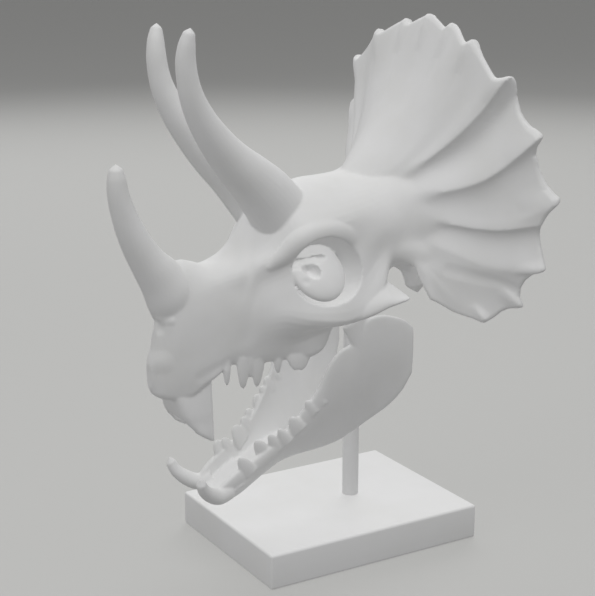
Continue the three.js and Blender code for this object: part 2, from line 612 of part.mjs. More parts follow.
/** Round rod that runs up from the plate into the underside of the skull. */
function supportRod(skull) {
  const bottom = PLATE.height + GAP;
  const rod = new THREE.CylinderGeometry(ROD.radius, ROD.radius, ROD.top - bottom, ROD.sides)
    .rotateX(Math.PI / 2)
    .translate(0, ROD.y, (ROD.top + bottom) / 2);
  return clearOf(skull, solid(rod));
}

/** Named mesh of one finished solid. */
function node(name, shape, color, roughness) {
  const mesh = shape.getMesh();
  const geometry = new THREE.BufferGeometry();
  geometry.setAttribute('position', new THREE.BufferAttribute(mesh.vertProperties, 3));
  geometry.setIndex(new THREE.BufferAttribute(mesh.triVerts, 1));
  geometry.computeVertexNormals();
  const material = new THREE.MeshStandardMaterial({ color, roughness, metalness: 0 });
  const part = new THREE.Mesh(geometry, material);
  part.name = name;
  return part;
}

const skull = cranium();
const replica = new THREE.Group();
replica.add(
  node('cranium', skull, 0xdedede, 0.7),
  node('lower_jaw', lowerJaw(skull), 0xdedede, 0.7),
  node('support_rod', supportRod(skull), 0xdadada, 0.6),
  node('base_plate', basePlate(), 0xe2e2e2, 0.65),
);

export default replica;
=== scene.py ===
"""Looks of a replica horned dinosaur skull on a rod over a plate.

Sizes are in millimetres in the same frame as the solids: +Z up, the snout points to -Y, the
animal's left side is +X and the plane X = 0 is its plane of symmetry.
"""

import logging
import math
from dataclasses import dataclass
from enum import Enum
from typing import Sequence

import bmesh
import bpy
import numpy as np
from mathutils import Matrix, Vector


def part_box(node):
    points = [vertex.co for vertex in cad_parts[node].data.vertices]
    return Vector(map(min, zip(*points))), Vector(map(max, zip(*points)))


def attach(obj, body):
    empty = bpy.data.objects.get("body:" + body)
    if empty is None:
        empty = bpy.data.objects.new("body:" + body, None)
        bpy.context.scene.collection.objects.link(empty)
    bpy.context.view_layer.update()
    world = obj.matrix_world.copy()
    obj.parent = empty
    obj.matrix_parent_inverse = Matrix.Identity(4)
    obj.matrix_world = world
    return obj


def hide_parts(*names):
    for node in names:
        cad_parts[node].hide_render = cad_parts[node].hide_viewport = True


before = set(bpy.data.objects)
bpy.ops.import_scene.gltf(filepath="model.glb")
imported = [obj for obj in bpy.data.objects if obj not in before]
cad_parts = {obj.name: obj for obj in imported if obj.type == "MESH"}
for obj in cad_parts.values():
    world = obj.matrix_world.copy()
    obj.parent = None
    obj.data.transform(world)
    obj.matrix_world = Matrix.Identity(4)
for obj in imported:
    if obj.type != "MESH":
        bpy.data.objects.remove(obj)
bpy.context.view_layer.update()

MM = 0.001
MIRROR = np.array([-1.0, 1.0, 1.0])
SHORTEST_STEP = 1e-4
SMOOTH_IN = 0.5
SMOOTH_OUT = -0.52
STROKE_STEPS = 8
STROKE_EDGE = 2
log = logging.getLogger("skull_replica")

Row = Sequence[float]
Rows = Sequence[Row]
Shell = bmesh.types.BMesh


class Facing(Enum):
    """Which surface a sculpting stroke works on, as the direction that it faces."""

    ANY = (0.0, 0.0, 0.0)
    FRONT = (0.0, -1.0, 0.3)


# Curves and shells


def curve(points: Rows, places: np.ndarray, closed: bool = False) -> np.ndarray:
    """Centripetal Catmull-Rom curve.

    Args:
        points: control points, in any number of dimensions.
        places: places along the curve from 0 to 1, with an even share for each span.
        closed: whether the curve runs back to its first point.

    Returns:
        One row for each place.
    """
    p = np.asarray(points, float)
    count = len(p)
    if closed:
        x = (np.asarray(places) % 1.0) * count
        first = np.floor(x).astype(int)
        q = [p[(first + k) % count] for k in (-1, 0, 1, 2)]
    else:
        x = np.asarray(places) * (count - 1)
        first = np.clip(np.floor(x).astype(int), 0, count - 2)
        padded = np.vstack([2 * p[0] - p[1], p, 2 * p[-1] - p[-2]])
        q = [padded[first + k] for k in range(4)]
    w = (x - first)[:, None]
    steps = [np.sqrt(np.linalg.norm(q[k + 1] - q[k], axis=1))[:, None] for k in range(3)]
    middle = np.where(steps[1] < SHORTEST_STEP, 1.0, steps[1])
    before = np.where(steps[0] < SHORTEST_STEP, middle, steps[0])
    after = np.where(steps[2] < SHORTEST_STEP, middle, steps[2])
    leave = (q[1] - q[0]) / before - (q[2] - q[0]) / (before + middle) + (q[2] - q[1]) / middle
    arrive = (q[2] - q[1]) / middle - (q[3] - q[1]) / (middle + after) + (q[3] - q[2]) / after
    leave, arrive = leave * middle, arrive * middle
    bend = -3 * q[1] + 3 * q[2] - 2 * leave - arrive
    twist = 2 * q[1] - 2 * q[2] + leave + arrive
    return q[1] + w * (leave + w * (bend + w * twist))


def outwards(bm: Shell) -> None:
    """Turn the faces of a closed shell outwards.

    Args:
        bm: shell, which is changed in place.
    """
    bmesh.ops.recalc_face_normals(bm, faces=bm.faces)
    if bm.calc_volume(signed=True) < 0:
        bmesh.ops.reverse_faces(bm, faces=bm.faces)


def mirrored(bm: Shell) -> Shell:
    """Copy of a shell on the other side of the plane of symmetry.

    Args:
        bm: shell.

    Returns:
        The copy.
    """
    twin = bm.copy()
    bmesh.ops.scale(twin, vec=Vector(MIRROR), verts=twin.verts)
    outwards(twin)
    return twin


def both(bm: Shell) -> list[Shell]:
    """The shell and its mirror image."""
    return [bm, mirrored(bm)]


def shell_over(rings: np.ndarray, end: Row | None = None) -> Shell:
    """Closed shell over rings of points, bent from a sphere's rows and columns.

    Args:
        rings: points in millimetres, as (ring, place round the ring, x y z).
        end: point that closes the last ring, or None for the ring's centre.

    Returns:
        The shell in metres, with its faces turned outwards.
    """
    count, around = rings.shape[:2]
    bm = bmesh.new()
    bmesh.ops.create_uvsphere(bm, u_segments=around, v_segments=count + 1, radius=1.0)
    start = rings[0].mean(0)
    end = rings[-1].mean(0) if end is None else np.asarray(end, float)
    for vert in bm.verts:
        row = round(math.acos(max(-1.0, min(1.0, vert.co.z))) / math.pi * (count + 1))
        column = round(math.atan2(vert.co.y, vert.co.x) / math.tau * around) % around
        place = start if row == 0 else end if row == count + 1 else rings[row - 1, column]
        vert.co = Vector(place) * MM
    outwards(bm)
    return bm


def taper(stations: Rows, tip: Row, around: int = 32, steps: int = 48) -> Shell:
    """Tapered body along a bent spine with an oval section.

    Args:
        stations: rows of x, y, z, half-width across and half-width along the bend.
        tip: point that closes the thin end.
        around: points round the section.
        steps: sections from root to tip.

    Returns:
        The closed shell.
    """
    rows = np.asarray(stations, float)
    places = np.linspace(0, 1, steps + 1)
    spine = curve(rows[:, :3], places)
    sizes = curve(np.pad(rows[:, 3:5], ((0, 0), (0, 1))), places)
    tangent = np.gradient(spine, axis=0)
    tangent /= np.linalg.norm(tangent, axis=1)[:, None]
    across = np.array([1.0, 0, 0]) - tangent * tangent[:, :1]
    across /= np.linalg.norm(across, axis=1)[:, None]
    along = np.cross(tangent, across)
    angle = np.arange(around) / around * math.tau
    rings = (spine[:, None]
             + across[:, None] * (np.cos(angle)[None, :] * sizes[:, :1])[..., None]
             + along[:, None] * (np.sin(angle)[None, :] * sizes[:, 1:2])[..., None])
    return shell_over(rings, tip)


def ball(at: Row, radii: Row, tilt: float = 0.0, around: int = 40) -> Shell:
    """Ellipsoid.

    Args:
        at: centre.
        radii: half-sizes along X, Y and Z before it is tilted.
        tilt: turn about the Y axis in radians.
        around: points round it.

    Returns:
        The closed shell.
    """
    bm = bmesh.new()
    bmesh.ops.create_uvsphere(bm, u_segments=around, v_segments=around // 2, radius=MM)
    bmesh.ops.scale(bm, vec=radii, verts=bm.verts)
    bmesh.ops.rotate(bm, cent=(0, 0, 0), matrix=Matrix.Rotation(tilt, 3, "Y"), verts=bm.verts)
    bmesh.ops.translate(bm, vec=Vector(at) * MM, verts=bm.verts)
    return bm


def symmetric_body(sections: Sequence[tuple[float, Rows]], around: int, steps: int) -> Shell:
    """Body skinned over half-sections that are mirrored across the plane of symmetry.

    Args:
        sections: (y, half-section) pairs, where a half-section is a list of (x, z).
        around: points round each section.
        steps: sections from end to end.

    Returns:
        The closed shell.
    """
    half_count = len(sections[0][1])
    places = np.linspace(0, 1, steps + 1)
    lines = [curve([(half[k][0], y, half[k][1]) for y, half in sections], places)
             for k in range(half_count)]
    left = np.stack(lines, axis=1)
    loops = np.concatenate([left, left[:, -2:0:-1] * MIRROR], axis=1)
    spread = np.arange(around) / around
    return shell_over(np.stack([curve(loop, spread, closed=True) for loop in loops]))


# Joining, cutting and sculpting


def piece_from(bm: Shell, name: str) -> bpy.types.Object:
    """Object in the scene that takes over a shell.

    Args:
        bm: shell, which is used up.
        name: name of the object.

    Returns:
        The object.
    """
    mesh = bpy.data.meshes.new(name)
    bm.to_mesh(mesh)
    bm.free()
    piece = bpy.data.objects.new(name, mesh)
    bpy.context.scene.collection.objects.link(piece)
    return piece


def applied(piece: bpy.types.Object) -> bpy.types.Object:
    """Work a piece's modifiers into its mesh.

    Args:
        piece: piece that is changed.

    Returns:
        The same piece.
    """
    bpy.context.view_layer.update()
    graph = bpy.context.evaluated_depsgraph_get()
    mesh = bpy.data.meshes.new_from_object(piece.evaluated_get(graph), depsgraph=graph)
    old = piece.data
    piece.modifiers.clear()
    piece.data = mesh
    bpy.data.meshes.remove(old)
    return piece


def gathered(shells: Sequence[Shell]) -> Shell:
    """Several shells in one.

    Args:
        shells: shells, which are used up.

    Returns:
        The shell that holds them all.
    """
    whole = bmesh.new()
    for part in shells:
        mesh = bpy.data.meshes.new("shell")
        part.to_mesh(mesh)
        part.free()
        whole.from_mesh(mesh)
        bpy.data.meshes.remove(mesh)
    return whole


def carved(body: Shell, cutters: Sequence[Shell]) -> Shell:
    """Body with each cutter taken out of it.

    Args:
        body: closed shell, which is used up.
        cutters: closed shells, which are used up.

    Returns:
        The cut shell.
    """
    piece = piece_from(body, "uncut")
    for shape in cutters:
        tool = piece_from(shape, "cutter")
        cut = piece.modifiers.new("cut", "BOOLEAN")
        cut.operation = "DIFFERENCE"
        cut.solver = "EXACT"
        cut.object = tool
        applied(piece)
        bpy.data.objects.remove(tool)
    bm = bmesh.new()
    bm.from_mesh(piece.data)
    bpy.data.objects.remove(piece)
    return bm


def fused(shells: Sequence[Shell], name: str, voxel: float) -> bpy.types.Object:
    """Overlapping shells run together into one skin.

    Args:
        shells: closed shells, which are used up.
        name: name of the piece.
        voxel: size of the new faces in millimetres.

    Returns:
        The piece.
    """
    piece = piece_from(gathered(shells), name)
    remesh = piece.modifiers.new("skin", "REMESH")
    remesh.mode = "VOXEL"
    remesh.voxel_size = voxel * MM
    remesh.adaptivity = 0.0
    return applied(piece)


def places_of(mesh: bpy.types.Mesh) -> np.ndarray:
    """Vertex places of a mesh.

    Args:
        mesh: mesh to read.

    Returns:
        One row of x, y and z in millimetres for each vertex.
    """
    flat = np.empty(len(mesh.vertices) * 3)
    mesh.vertices.foreach_get("co", flat)
    return flat.reshape(-1, 3) / MM


def put_places(mesh: bpy.types.Mesh, places: np.ndarray) -> None:
    """Set the vertex places of a mesh, given in millimetres."""
    mesh.vertices.foreach_set("co", (places * MM).ravel())
    mesh.update()


def normals_of(mesh: bpy.types.Mesh) -> np.ndarray:
    """Vertex normals of a mesh.

    Args:
        mesh: mesh to read.

    Returns:
        One row of x, y and z for each vertex.
    """
    flat = np.empty(len(mesh.vertices) * 3)
    mesh.vertex_normals.foreach_get("vector", flat)
    return flat.reshape(-1, 3)


def relax(mesh: bpy.types.Mesh, rounds: int, weight: np.ndarray | None = None,
          keep: bool = True) -> None:
    """Smooth a mesh.

    Args:
        mesh: mesh to smooth in place.
        rounds: how many times.
        weight: share of the smoothing at each vertex, or None for all of it.
        keep: whether each round is followed by one that swells the shape back.
    """
    edges = np.empty(len(mesh.edges) * 2, np.int32)
    mesh.edges.foreach_get("vertices", edges)
    first, second = edges.reshape(-1, 2).T
    places = places_of(mesh)
    count = len(places)
    links = np.bincount(first, minlength=count) + np.bincount(second, minlength=count)
    share = np.ones(count) if weight is None else weight
    pulls = (SMOOTH_IN, SMOOTH_OUT) if keep else (SMOOTH_IN,)
    for _ in range(rounds):
        for pull in pulls:
            for axis in range(3):
                value = places[:, axis]
                total = (np.bincount(first, value[second], count)
                         + np.bincount(second, value[first], count))
                value += pull * share * (total / np.maximum(links, 1) - value)
    put_places(mesh, places)


@dataclass(frozen=True)
class Stroke:
    """Soft groove or ridge worked into a surface along a line, or a dimple at one point.

    Attributes:
        path: points of the line.
        radius: half-width of the stroke.
        depth: how far it sinks the surface; a ridge is negative.
        facing: the surface that it works on.
    """

    path: Rows
    radius: float
    depth: float
    facing: Facing = Facing.ANY


def sculpt(mesh: bpy.types.Mesh, strokes: Sequence[Stroke]) -> None:
    """Work strokes into a mesh, each along its line and along the line's mirror image.

    Args:
        mesh: mesh that is changed in place.
        strokes: the strokes, one after the other.
    """
    for stroke in strokes:
        places = places_of(mesh)
        normals = normals_of(mesh)
        line = np.array(stroke.path)
        if len(line) > 1:
            line = curve(stroke.path, np.linspace(0, 1, STROKE_STEPS * len(line)))
        shift = np.zeros(len(places))
        for flip in (np.ones(3), MIRROR):
            side = line * flip
            low, high = side.min(0) - stroke.radius, side.max(0) + stroke.radius
            near = np.where(((places > low) & (places < high)).all(1))[0]
            away = np.linalg.norm(places[near, None] - side[None], axis=2).min(1)
            fall = np.clip(1 - (away / stroke.radius) ** 2, 0, 1) ** 2
            facing = np.array(stroke.facing.value)
            if facing.any():
                facing = facing / np.linalg.norm(facing) * flip
                fall *= np.clip(normals[near] @ facing * STROKE_EDGE, 0, 1)
            shift[near] = np.maximum(shift[near], fall)
        put_places(mesh, places - normals * (shift * stroke.depth)[:, None])


def melt(mesh: bpy.types.Mesh, soft_places: Rows) -> None:
    """Run forms into one another with a wide fillet, at a place and at its mirror image.

    Args:
        mesh: mesh that is changed in place.
        soft_places: rows of x, y, z, radius and number of smoothing rounds.
    """
    for x, y, z, radius, rounds in soft_places:
        places = places_of(mesh)
        weight = np.zeros(len(places))
        for side in (x, -x):
            away = np.linalg.norm(places - (side, y, z), axis=1)
            weight = np.maximum(weight, np.clip(1 - (away / radius) ** 2, 0, 1))
        relax(mesh, int(rounds), weight, keep=False)


def thinned(piece: bpy.types.Object, triangles: int) -> bpy.types.Object:
    """The piece with few enough triangles.

    Args:
        piece: piece to thin.
        triangles: most triangles that it may keep.

    Returns:
        The same piece.
    """
    count = sum(len(face.vertices) - 2 for face in piece.data.polygons)
    if count > triangles:
        thin = piece.modifiers.new("thin", "DECIMATE")
        thin.ratio = triangles / count
        applied(piece)
    return piece


def dressed(piece: bpy.types.Object, node: str, material: bpy.types.Material) -> None:
    """Smooth a piece's shading, give it its finish and set it in the frame.

    Args:
        piece: finished piece.
        node: solid that it stands for.
        material: finish.
    """
    piece.data.materials.clear()
    piece.data.materials.append(material)
    piece.data.shade_smooth()
    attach(piece, "root")
    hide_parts(node)
    log.info("%s: %d faces", piece.name, len(piece.data.polygons))


# Finishes


def linear(colour: str) -> tuple[float, float, float, float]:
    """Linear colour from an sRGB hex value such as dcdcda."""
    parts = [int(colour[k:k + 2], 16) / 255 for k in (0, 2, 4)]
    return (*(c / 12.92 if c <= 0.04045 else ((c + 0.055) / 1.055) ** 2.4 for c in parts), 1.0)


def add_node(tree: bpy.types.NodeTree, kind: str, settings: dict | None = None,
             inputs: dict | None = None, links: dict | None = None) -> bpy.types.Node:
    """Node with its settings, socket values and incoming links.

    Args:
        tree: node tree that it joins.
        kind: node type.
        settings: attributes by name.
        inputs: socket values by socket name or number.
        links: output sockets by the name or number of the input that they feed.

    Returns:
        The node.
    """
    node = tree.nodes.new(kind)
    for name, value in (settings or {}).items():
        setattr(node, name, value)
    for name, value in (inputs or {}).items():
        node.inputs[name].default_value = value
    for name, source in (links or {}).items():
        tree.links.new(source, node.inputs[name])
    return node


@dataclass(frozen=True)
class CastResin:
    """White polyurethane casting resin, matt as it leaves a silicone mould.

    The eye sees an even off-white with hardly any gloss, a very fine tooth, and faint clouding
    where the pour was thicker.

    Attributes:
        name: name of the material.
        light: colour of the body.
        dark: colour of the clouding.
        roughness: middle roughness of the skin.
        tooth: grain of the surface in millimetres, drawn coarser than real so that it shows.
        cloud: size of the clouding in millimetres.
        relief: height of the grain in millimetres.
        dark_until: value of the clouding up to which it is all dark.
        light_from: value of the clouding from which it is all light.
        unevenness: how far the roughness strays from its middle with the clouding.
        bump: strength of the grain.
        ior: refractive index of the resin.
    """

    name: str
    light: str
    dark: str
    roughness: float
    tooth: float
    cloud: float
    relief: float
    dark_until: float = 0.3
    light_from: float = 0.65
    unevenness: float = 0.05
    bump: float = 0.35
    ior: float = 1.5

    def material(self) -> bpy.types.Material:
        """Build the material.

        Returns:
            The material.
        """
        material = bpy.data.materials.new(self.name)
        material.use_nodes = True
        tree = material.node_tree
        shader = tree.nodes["Principled BSDF"]
        place = add_node(tree, "ShaderNodeTexCoord").outputs["Object"]
        cloud = add_node(tree, "ShaderNodeTexNoise",
                         inputs={"Scale": 1 / (self.cloud * MM), "Detail": 3.0, "Roughness": 0.55},
                         links={"Vector": place})
        tint = add_node(tree, "ShaderNodeValToRGB", links={"Fac": cloud.outputs["Fac"]})
        tint.color_ramp.elements[0].color = linear(self.dark)
        tint.color_ramp.elements[0].position = self.dark_until
        tint.color_ramp.elements[1].color = linear(self.light)
        tint.color_ramp.elements[1].position = self.light_from
        tree.links.new(tint.outputs["Color"], shader.inputs["Base Color"])
        grain = add_node(tree, "ShaderNodeTexNoise",
                         inputs={"Scale": 1 / (self.tooth * MM), "Detail": 2.0},
                         links={"Vector": place})
        bump = add_node(tree, "ShaderNodeBump",
                        inputs={"Strength": self.bump, "Distance": self.relief * MM},
                        links={"Height": grain.outputs["Fac"]})
        tree.links.new(bump.outputs["Normal"], shader.inputs["Normal"])
        gloss = add_node(tree, "ShaderNodeMapRange",
                         inputs={"To Min": self.roughness - self.unevenness,
                                 "To Max": self.roughness + self.unevenness},
                         links={"Value": cloud.outputs["Fac"]})
        tree.links.new(gloss.outputs["Result"], shader.inputs["Roughness"])
        shader.inputs["IOR"].default_value = self.ior
        return material


# As it left the mould: bone white and even, so that only form and shade show.
SKULL_RESIN = CastResin("cast_resin_bone_white", "dedede", "d9d9d8", 0.62, 0.5, 28.0, 0.02)
# Drawn through a die: a little smoother, with a faint sheen down its length.
ROD_RESIN = CastResin("extruded_resin_rod", "dcdcdc", "d8d8d8", 0.55, 0.4, 20.0, 0.01)
# Cast flat and lightly sanded: the palest of the three and just as matt.
STAND_RESIN = CastResin("cast_resin_stand", "e2e2e2", "dededd", 0.6, 0.5, 40.0, 0.015)


# Teeth, which the skull and the lower jaw share


@dataclass(frozen=True)
class ToothShape:
    """Pointed tooth with an oval root.

    Attributes:
        rise: shares of the height at which its size is given.
        size: share of the root's size at each of them.
        end: share of the height at which the last ring stands, below the point.
        around: points round it.
        steps: rings from root to point.
        half_width: half of its thickness across the jaw.
    """

    rise: Row = (0, 0.4, 0.72, 0.88, 0.96, 1.0)
    size: Row = (1.0, 0.9, 0.66, 0.44, 0.26, 0.0)
    end: float = 0.94
    around: int = 20
    steps: int = 12
    half_width: float = 2.0

    def build(self, root: Row, tip: Row, run: Row, across: Row, half_length: float) -> Shell:
        """Build one tooth.

        Args:
            root: centre of its base.
            tip: its point.
            run: direction along the jaw.
            across: direction across the jaw.
            half_length: half of its length along the jaw.

        Returns:
            The closed shell.
        """
        root, tip, run, across = (np.asarray(v, float) for v in (root, tip, run, across))
        angle = np.arange(self.around) / self.around * math.tau
        rise = np.linspace(0, self.end, self.steps)
        size = np.interp(rise, self.rise, self.size)
        spine = root + (tip - root) * rise[:, None]
        rings = (spine[:, None]
                 + run * (np.cos(angle)[None] * (half_length * size)[:, None])[..., None]
                 + across * (np.sin(angle)[None] * (self.half_width * size)[:, None])[..., None])
        return shell_over(rings, tip)


# The skull


@dataclass(frozen=True)
class EyeSocket:
    """Eye socket of the left side with the bulging disc inside it.

    Attributes:
        hollow: centre, radii and tilt of the socket.
        filling: centre, radii and tilt of the body behind the disc.
        disc: centre, radii and tilt of the disc.
        slot: rows of x, y, z, half-width and half-height of the slot under the disc's top.
        slot_end: point that closes the slot.
        pit: rows of x, y, z, half-width and half-height of the pit in the disc.
        pit_end: bottom of the pit.
        dent: centre and radii of the shallow dent in front of the pit.
    """

    hollow: tuple[Row, Row, float] = ((36, -22.5, 159.5), (21, 19, 17.4), -0.2)
    filling: tuple[Row, Row, float] = ((19, -22.5, 153.5), (8.5, 16.5, 13), -0.2)
    disc: tuple[Row, Row, float] = ((27.4, -24.4, 158.2), (5.2, 15, 17.2), -0.68)
    slot: Rows = (
        (29.8, -46, 162.4, 9, 2.4), (29.4, -37.5, 163, 9, 2.4), (28.8, -30, 163.8, 8.5, 2.1),
        (28, -22.5, 164.8, 7, 1.4),
    )
    slot_end: Row = (27.6, -18, 165.4)
    pit: Rows = (
        (38.4, -32.6, 162.9, 5.6, 3.8), (32.1, -30.5, 160.7, 5.6, 3.8), (26.7, -28.7, 158.7, 4.8, 3.2),
    )
    pit_end: Row = (23.5, -27.7, 157.6)
    dent: tuple[Row, Row] = ((43, -37, 157), (10.6, 8, 6.4))

    def cutter(self) -> Shell:
        """Shape that comes out of whatever reaches into the socket."""
        return ball(*self.hollow)

    def shells(self) -> tuple[Shell, Shell]:
        """Build what fills the socket.

        Returns:
            The filling and the disc, both with the pit sunk into them.
        """
        filling = carved(ball(*self.filling), [taper(self.pit, self.pit_end)])
        disc = carved(ball(*self.disc), [taper(self.slot, self.slot_end), taper(self.pit, self.pit_end),
                                         ball(*self.dent)])
        return filling, disc


@dataclass(frozen=True)
class Rib:
    """Crest of the frill that ends in a spike of the rim, with the panel after it.

    Attributes:
        path: points of the crest from root to rim.
        sag: depth of the hollow in the panel.
        lean: 1 for a hollow that is deepest in its middle, or less for one that leans to the crest.
        dips: rows of share of the panel's width and depth of the rim there.
    """

    path: Rows
    sag: float
    lean: float
    dips: Rows


@dataclass(frozen=True)
class Frill:
    """Neck frill, a fan of crests and hollow panels with a scalloped rim.

    Attributes:
        ribs: crests from the midline round to the lower end of the left side.
        slices: lines from root to rim in each panel.
        radial: steps from root to rim.
        root_half: half-thickness at the root.
        middle_half: half-thickness halfway to the rim.
        rim_half: half-thickness at the rim.
        end_ribs: how many panels grow thinner towards the lower end.
        end_share: share of the thickness that is left there.
        rim_round: share of the thickness that the rim's last line keeps.
        sag_reach: share of the way to the rim from which a hollow has its full depth.
        fade: how gently a leaning hollow runs out at the next crest.
        bite: how steeply the dips set in towards the rim.
        hub: height of the point that the dips sink towards.
        spikes: where the spikes stand, counted in ribs from the midline.
        knob: how much thicker the rim is at a spike.
        knob_span: width of that, counted in ribs.
        knob_from: share of the way to the rim at which it sets in.
        knob_ease: share of the way over which it grows.
    """

    ribs: Sequence[Rib] = (
        Rib(((0, 11, 197), (0, 32.5, 222), (0, 50.5, 250), (0, 63.2, 282.6)), 0, 1,
            ((0.1, 0.1), (0.23, 1.2), (0.46, 2.5), (0.7, 3.8), (0.85, 3.9), (0.92, 1.6))),
        Rib(((8, 13, 196), (13.5, 33.5, 221), (18, 50, 249), (20.4, 62.8, 279.2)), 0, 1,
            ((0.13, 0.2), (0.31, 1), (0.55, 2.7), (0.75, 4), (0.88, 4.2), (0.94, 1.6))),
        Rib(((15, 19, 196), (26, 37, 217.5), (35.5, 50, 243.5), (42.7, 59.6, 272.6)), 1.6, 1,
            ((0.06, 0.3), (0.15, 1.6), (0.34, 4), (0.52, 5.7), (0.68, 6.8), (0.8, 7.1), (0.88, 6.3),
             (0.94, 2))),
        Rib(((18, 24, 194.5), (37.5, 41, 213.5), (54.5, 52, 232.5), (69.3, 62.8, 256)), 7.5, 0.85,
            ((0.06, 0.3), (0.14, 2.2), (0.26, 5), (0.4, 6.7), (0.54, 7.6), (0.67, 7), (0.8, 5), (0.88, 2.3),
             (0.96, 0.3))),
        Rib(((18, 18, 187), (42, 39, 194.5), (64, 53, 203.8), (85.2, 71.2, 227)), 3.6, 0.8,
            ((0.03, 1), (0.06, 2.2), (0.11, 3.9), (0.16, 4.7), (0.22, 4.6), (0.34, 3.7), (0.45, 1.7),
             (0.55, -1.2), (0.64, -4.9), (0.69, -7.8), (0.73, -9), (0.77, -7.6), (0.84, -4), (0.93, -1.5))),
        Rib(((20, 20, 183), (45.5, 41.2, 179.6), (69, 56.8, 178.4), (86.5, 71.9, 182.5)), 3.6, 0.6,
            ((0.07, 0.8), (0.27, 2.2), (0.48, 2.8), (0.73, 2.3), (0.86, 1.3), (0.95, 0.3))),
        Rib(((22, 20, 176), (47, 41.5, 165.5), (68, 57, 158.5), (88, 74.6, 159.5)), 0, 1,
            ((0.05, 1), (0.12, 3.7), (0.23, 5.8), (0.41, 7.9), (0.6, 7.8), (0.8, 5.3), (0.93, 1.4))),
        Rib(((24, 20, 171), (46, 39.5, 158.5), (64, 55, 152.5), (78, 69.1, 138.4)), 0, 1,
            ((0.06, 0.8), (0.13, 1.9), (0.23, 3.8), (0.41, 4.3), (0.71, 2.2), (0.88, 1))),
        Rib(((26, 19, 168), (44, 35.5, 154.5), (55, 46, 143.5), (65.2, 54, 128.8)), 0, 1,
            ((0.09, 1.2), (0.22, 3), (0.45, 3), (0.8, 1))),
        Rib(((27, 16, 168), (41.5, 31, 157), (48.5, 37.5, 146.5), (53.6, 42.6, 133.6)), 0, 1,
            ((0.2, 1), (0.5, 1.6), (0.8, 0.8))),
        Rib(((28, 12, 169), (38, 25, 162), (43.5, 30.5, 153), (47.4, 32.4, 140)), 0, 1, ((0.5, 0),)),
    )
    slices: int = 20
    radial: int = 40
    root_half: float = 4.0
    middle_half: float = 2.3
    rim_half: float = 1.9
    end_ribs: int = 2
    end_share: float = 0.55
    rim_round: float = 0.5
    sag_reach: float = 0.8
    fade: float = 1.6
    bite: float = 4.0
    hub: float = 190.0
    spikes: Row = (0, 1, 2, 3, 4, 4.73, 6, 7, 7.9)
    knob: float = 1.7
    knob_span: float = 0.15
    knob_from: float = 0.8
    knob_ease: float = 0.12

    def _hollow(self, u: float, lean: float) -> float:
        """Depth of a panel's hollow as a share of its sag.

        Args:
            u: share of the panel's width.
            lean: how the hollow leans.

        Returns:
            The depth from 0 to 1.
        """
        if lean >= 1:
            return math.sin(math.pi * u) ** 2
        deepest = lean / (lean + self.fade)
        return (u / deepest) ** lean * ((1 - u) / (1 - deepest)) ** self.fade

    def _knob_at(self, place: float) -> float:
        """How far the rim is thickened at a place that counts ribs from the midline."""
        nearest = max(math.exp(-((place - spike) / self.knob_span) ** 2) for spike in self.spikes)
        return self.knob * nearest

    def _slice(self, paths: np.ndarray, place: float, radius: np.ndarray) -> tuple[np.ndarray, ...]:
        """Line from root to rim, with what it needs to become a front and a back.

        Args:
            paths: points of every rib, as (rib, step from root to rim, x y z).
            place: where the line runs, counted in ribs from the midline.
            radius: share of the way to the rim at each step.

        Returns:
            Points of the line, how far its front and its back are sunk, and its knob.
        """
        last = len(paths) - 1
        first = min(int(place), last - 1)
        u = place - first
        rib = self.ribs[first]
        around = [paths[1] * MIRROR if first == 0 else paths[first - 1], paths[first], paths[first + 1],
                  paths[min(first + 2, last)]]
        line = np.stack([curve([path[k] for path in around], np.array([(1 + u) / 3]))[0]
                         for k in range(len(radius))])
        inward = (around[1] + around[2]) / 2 - np.array([0, 0, self.hub])
        inward /= np.linalg.norm(inward, axis=1)[:, None]
        dip_at, dip = np.array([(0, 0), *rib.dips, (1, 0)], float).T
        line = line - inward * (np.interp(u, dip_at, dip) * radius ** self.bite)[:, None]
        reach = np.sin(math.pi / 2 * np.minimum(radius / self.sag_reach, 1))
        front = rib.sag * self._hollow(u, rib.lean) * reach
        back = rib.sag * (1 - (2 * u - 1) ** 2) * reach
        knob = self._knob_at(place) * np.clip((radius - self.knob_from) / self.knob_ease, 0, 1)
        return line, np.stack([front, back]), knob

    def _half_thickness(self, radius: np.ndarray, knob: np.ndarray) -> np.ndarray:
        """Half of the frill's thickness all over.

        Args:
            radius: share of the way to the rim at each step.
            knob: thickening at the spikes, as (line, step).

        Returns:
            The half-thickness, as (line, step).
        """
        last = len(self.ribs) - 1
        place = np.abs(np.arange(len(knob)) - last * self.slices) / self.slices
        ease = np.clip((place - (last - self.end_ribs)) / self.end_ribs, 0, 1)
        ease = ease * ease * (3 - 2 * ease)
        half = np.interp(radius, (0, 0.5, 1), (self.root_half, self.middle_half, self.rim_half))
        half = half[None] * (1 + (self.end_share - 1) * ease)[:, None] + knob
        half[:, -1] *= self.rim_round
        return half

    def build(self) -> Shell:
        """Build both sides of the frill.

        Returns:
            The closed shell.
        """
        radius = np.linspace(0, 1, self.radial + 1)
        paths = np.stack([curve(rib.path, radius) for rib in self.ribs])
        count = (len(self.ribs) - 1) * self.slices + 1
        left = [self._slice(paths, step / self.slices, radius) for step in range(count)]
        lines, sag, knob = (np.stack(rows) for rows in zip(*left))
        whole = np.concatenate([lines[:0:-1] * MIRROR, lines])
        sag = np.concatenate([sag[:0:-1], sag])
        knob = np.concatenate([knob[:0:-1], knob])
        normal = np.cross(np.gradient(whole, axis=1), np.gradient(whole, axis=0))
        normal /= np.linalg.norm(normal, axis=2)[..., None]
        normal *= np.where(normal[..., 1:2] > 0, -1.0, 1.0)
        half = self._half_thickness(radius, knob)
        front = whole + normal * (half - sag[:, 0])[..., None]
        back = whole - normal * (half + sag[:, 1])[..., None]
        return shell_over(np.concatenate([front, back[:, ::-1]], axis=1))


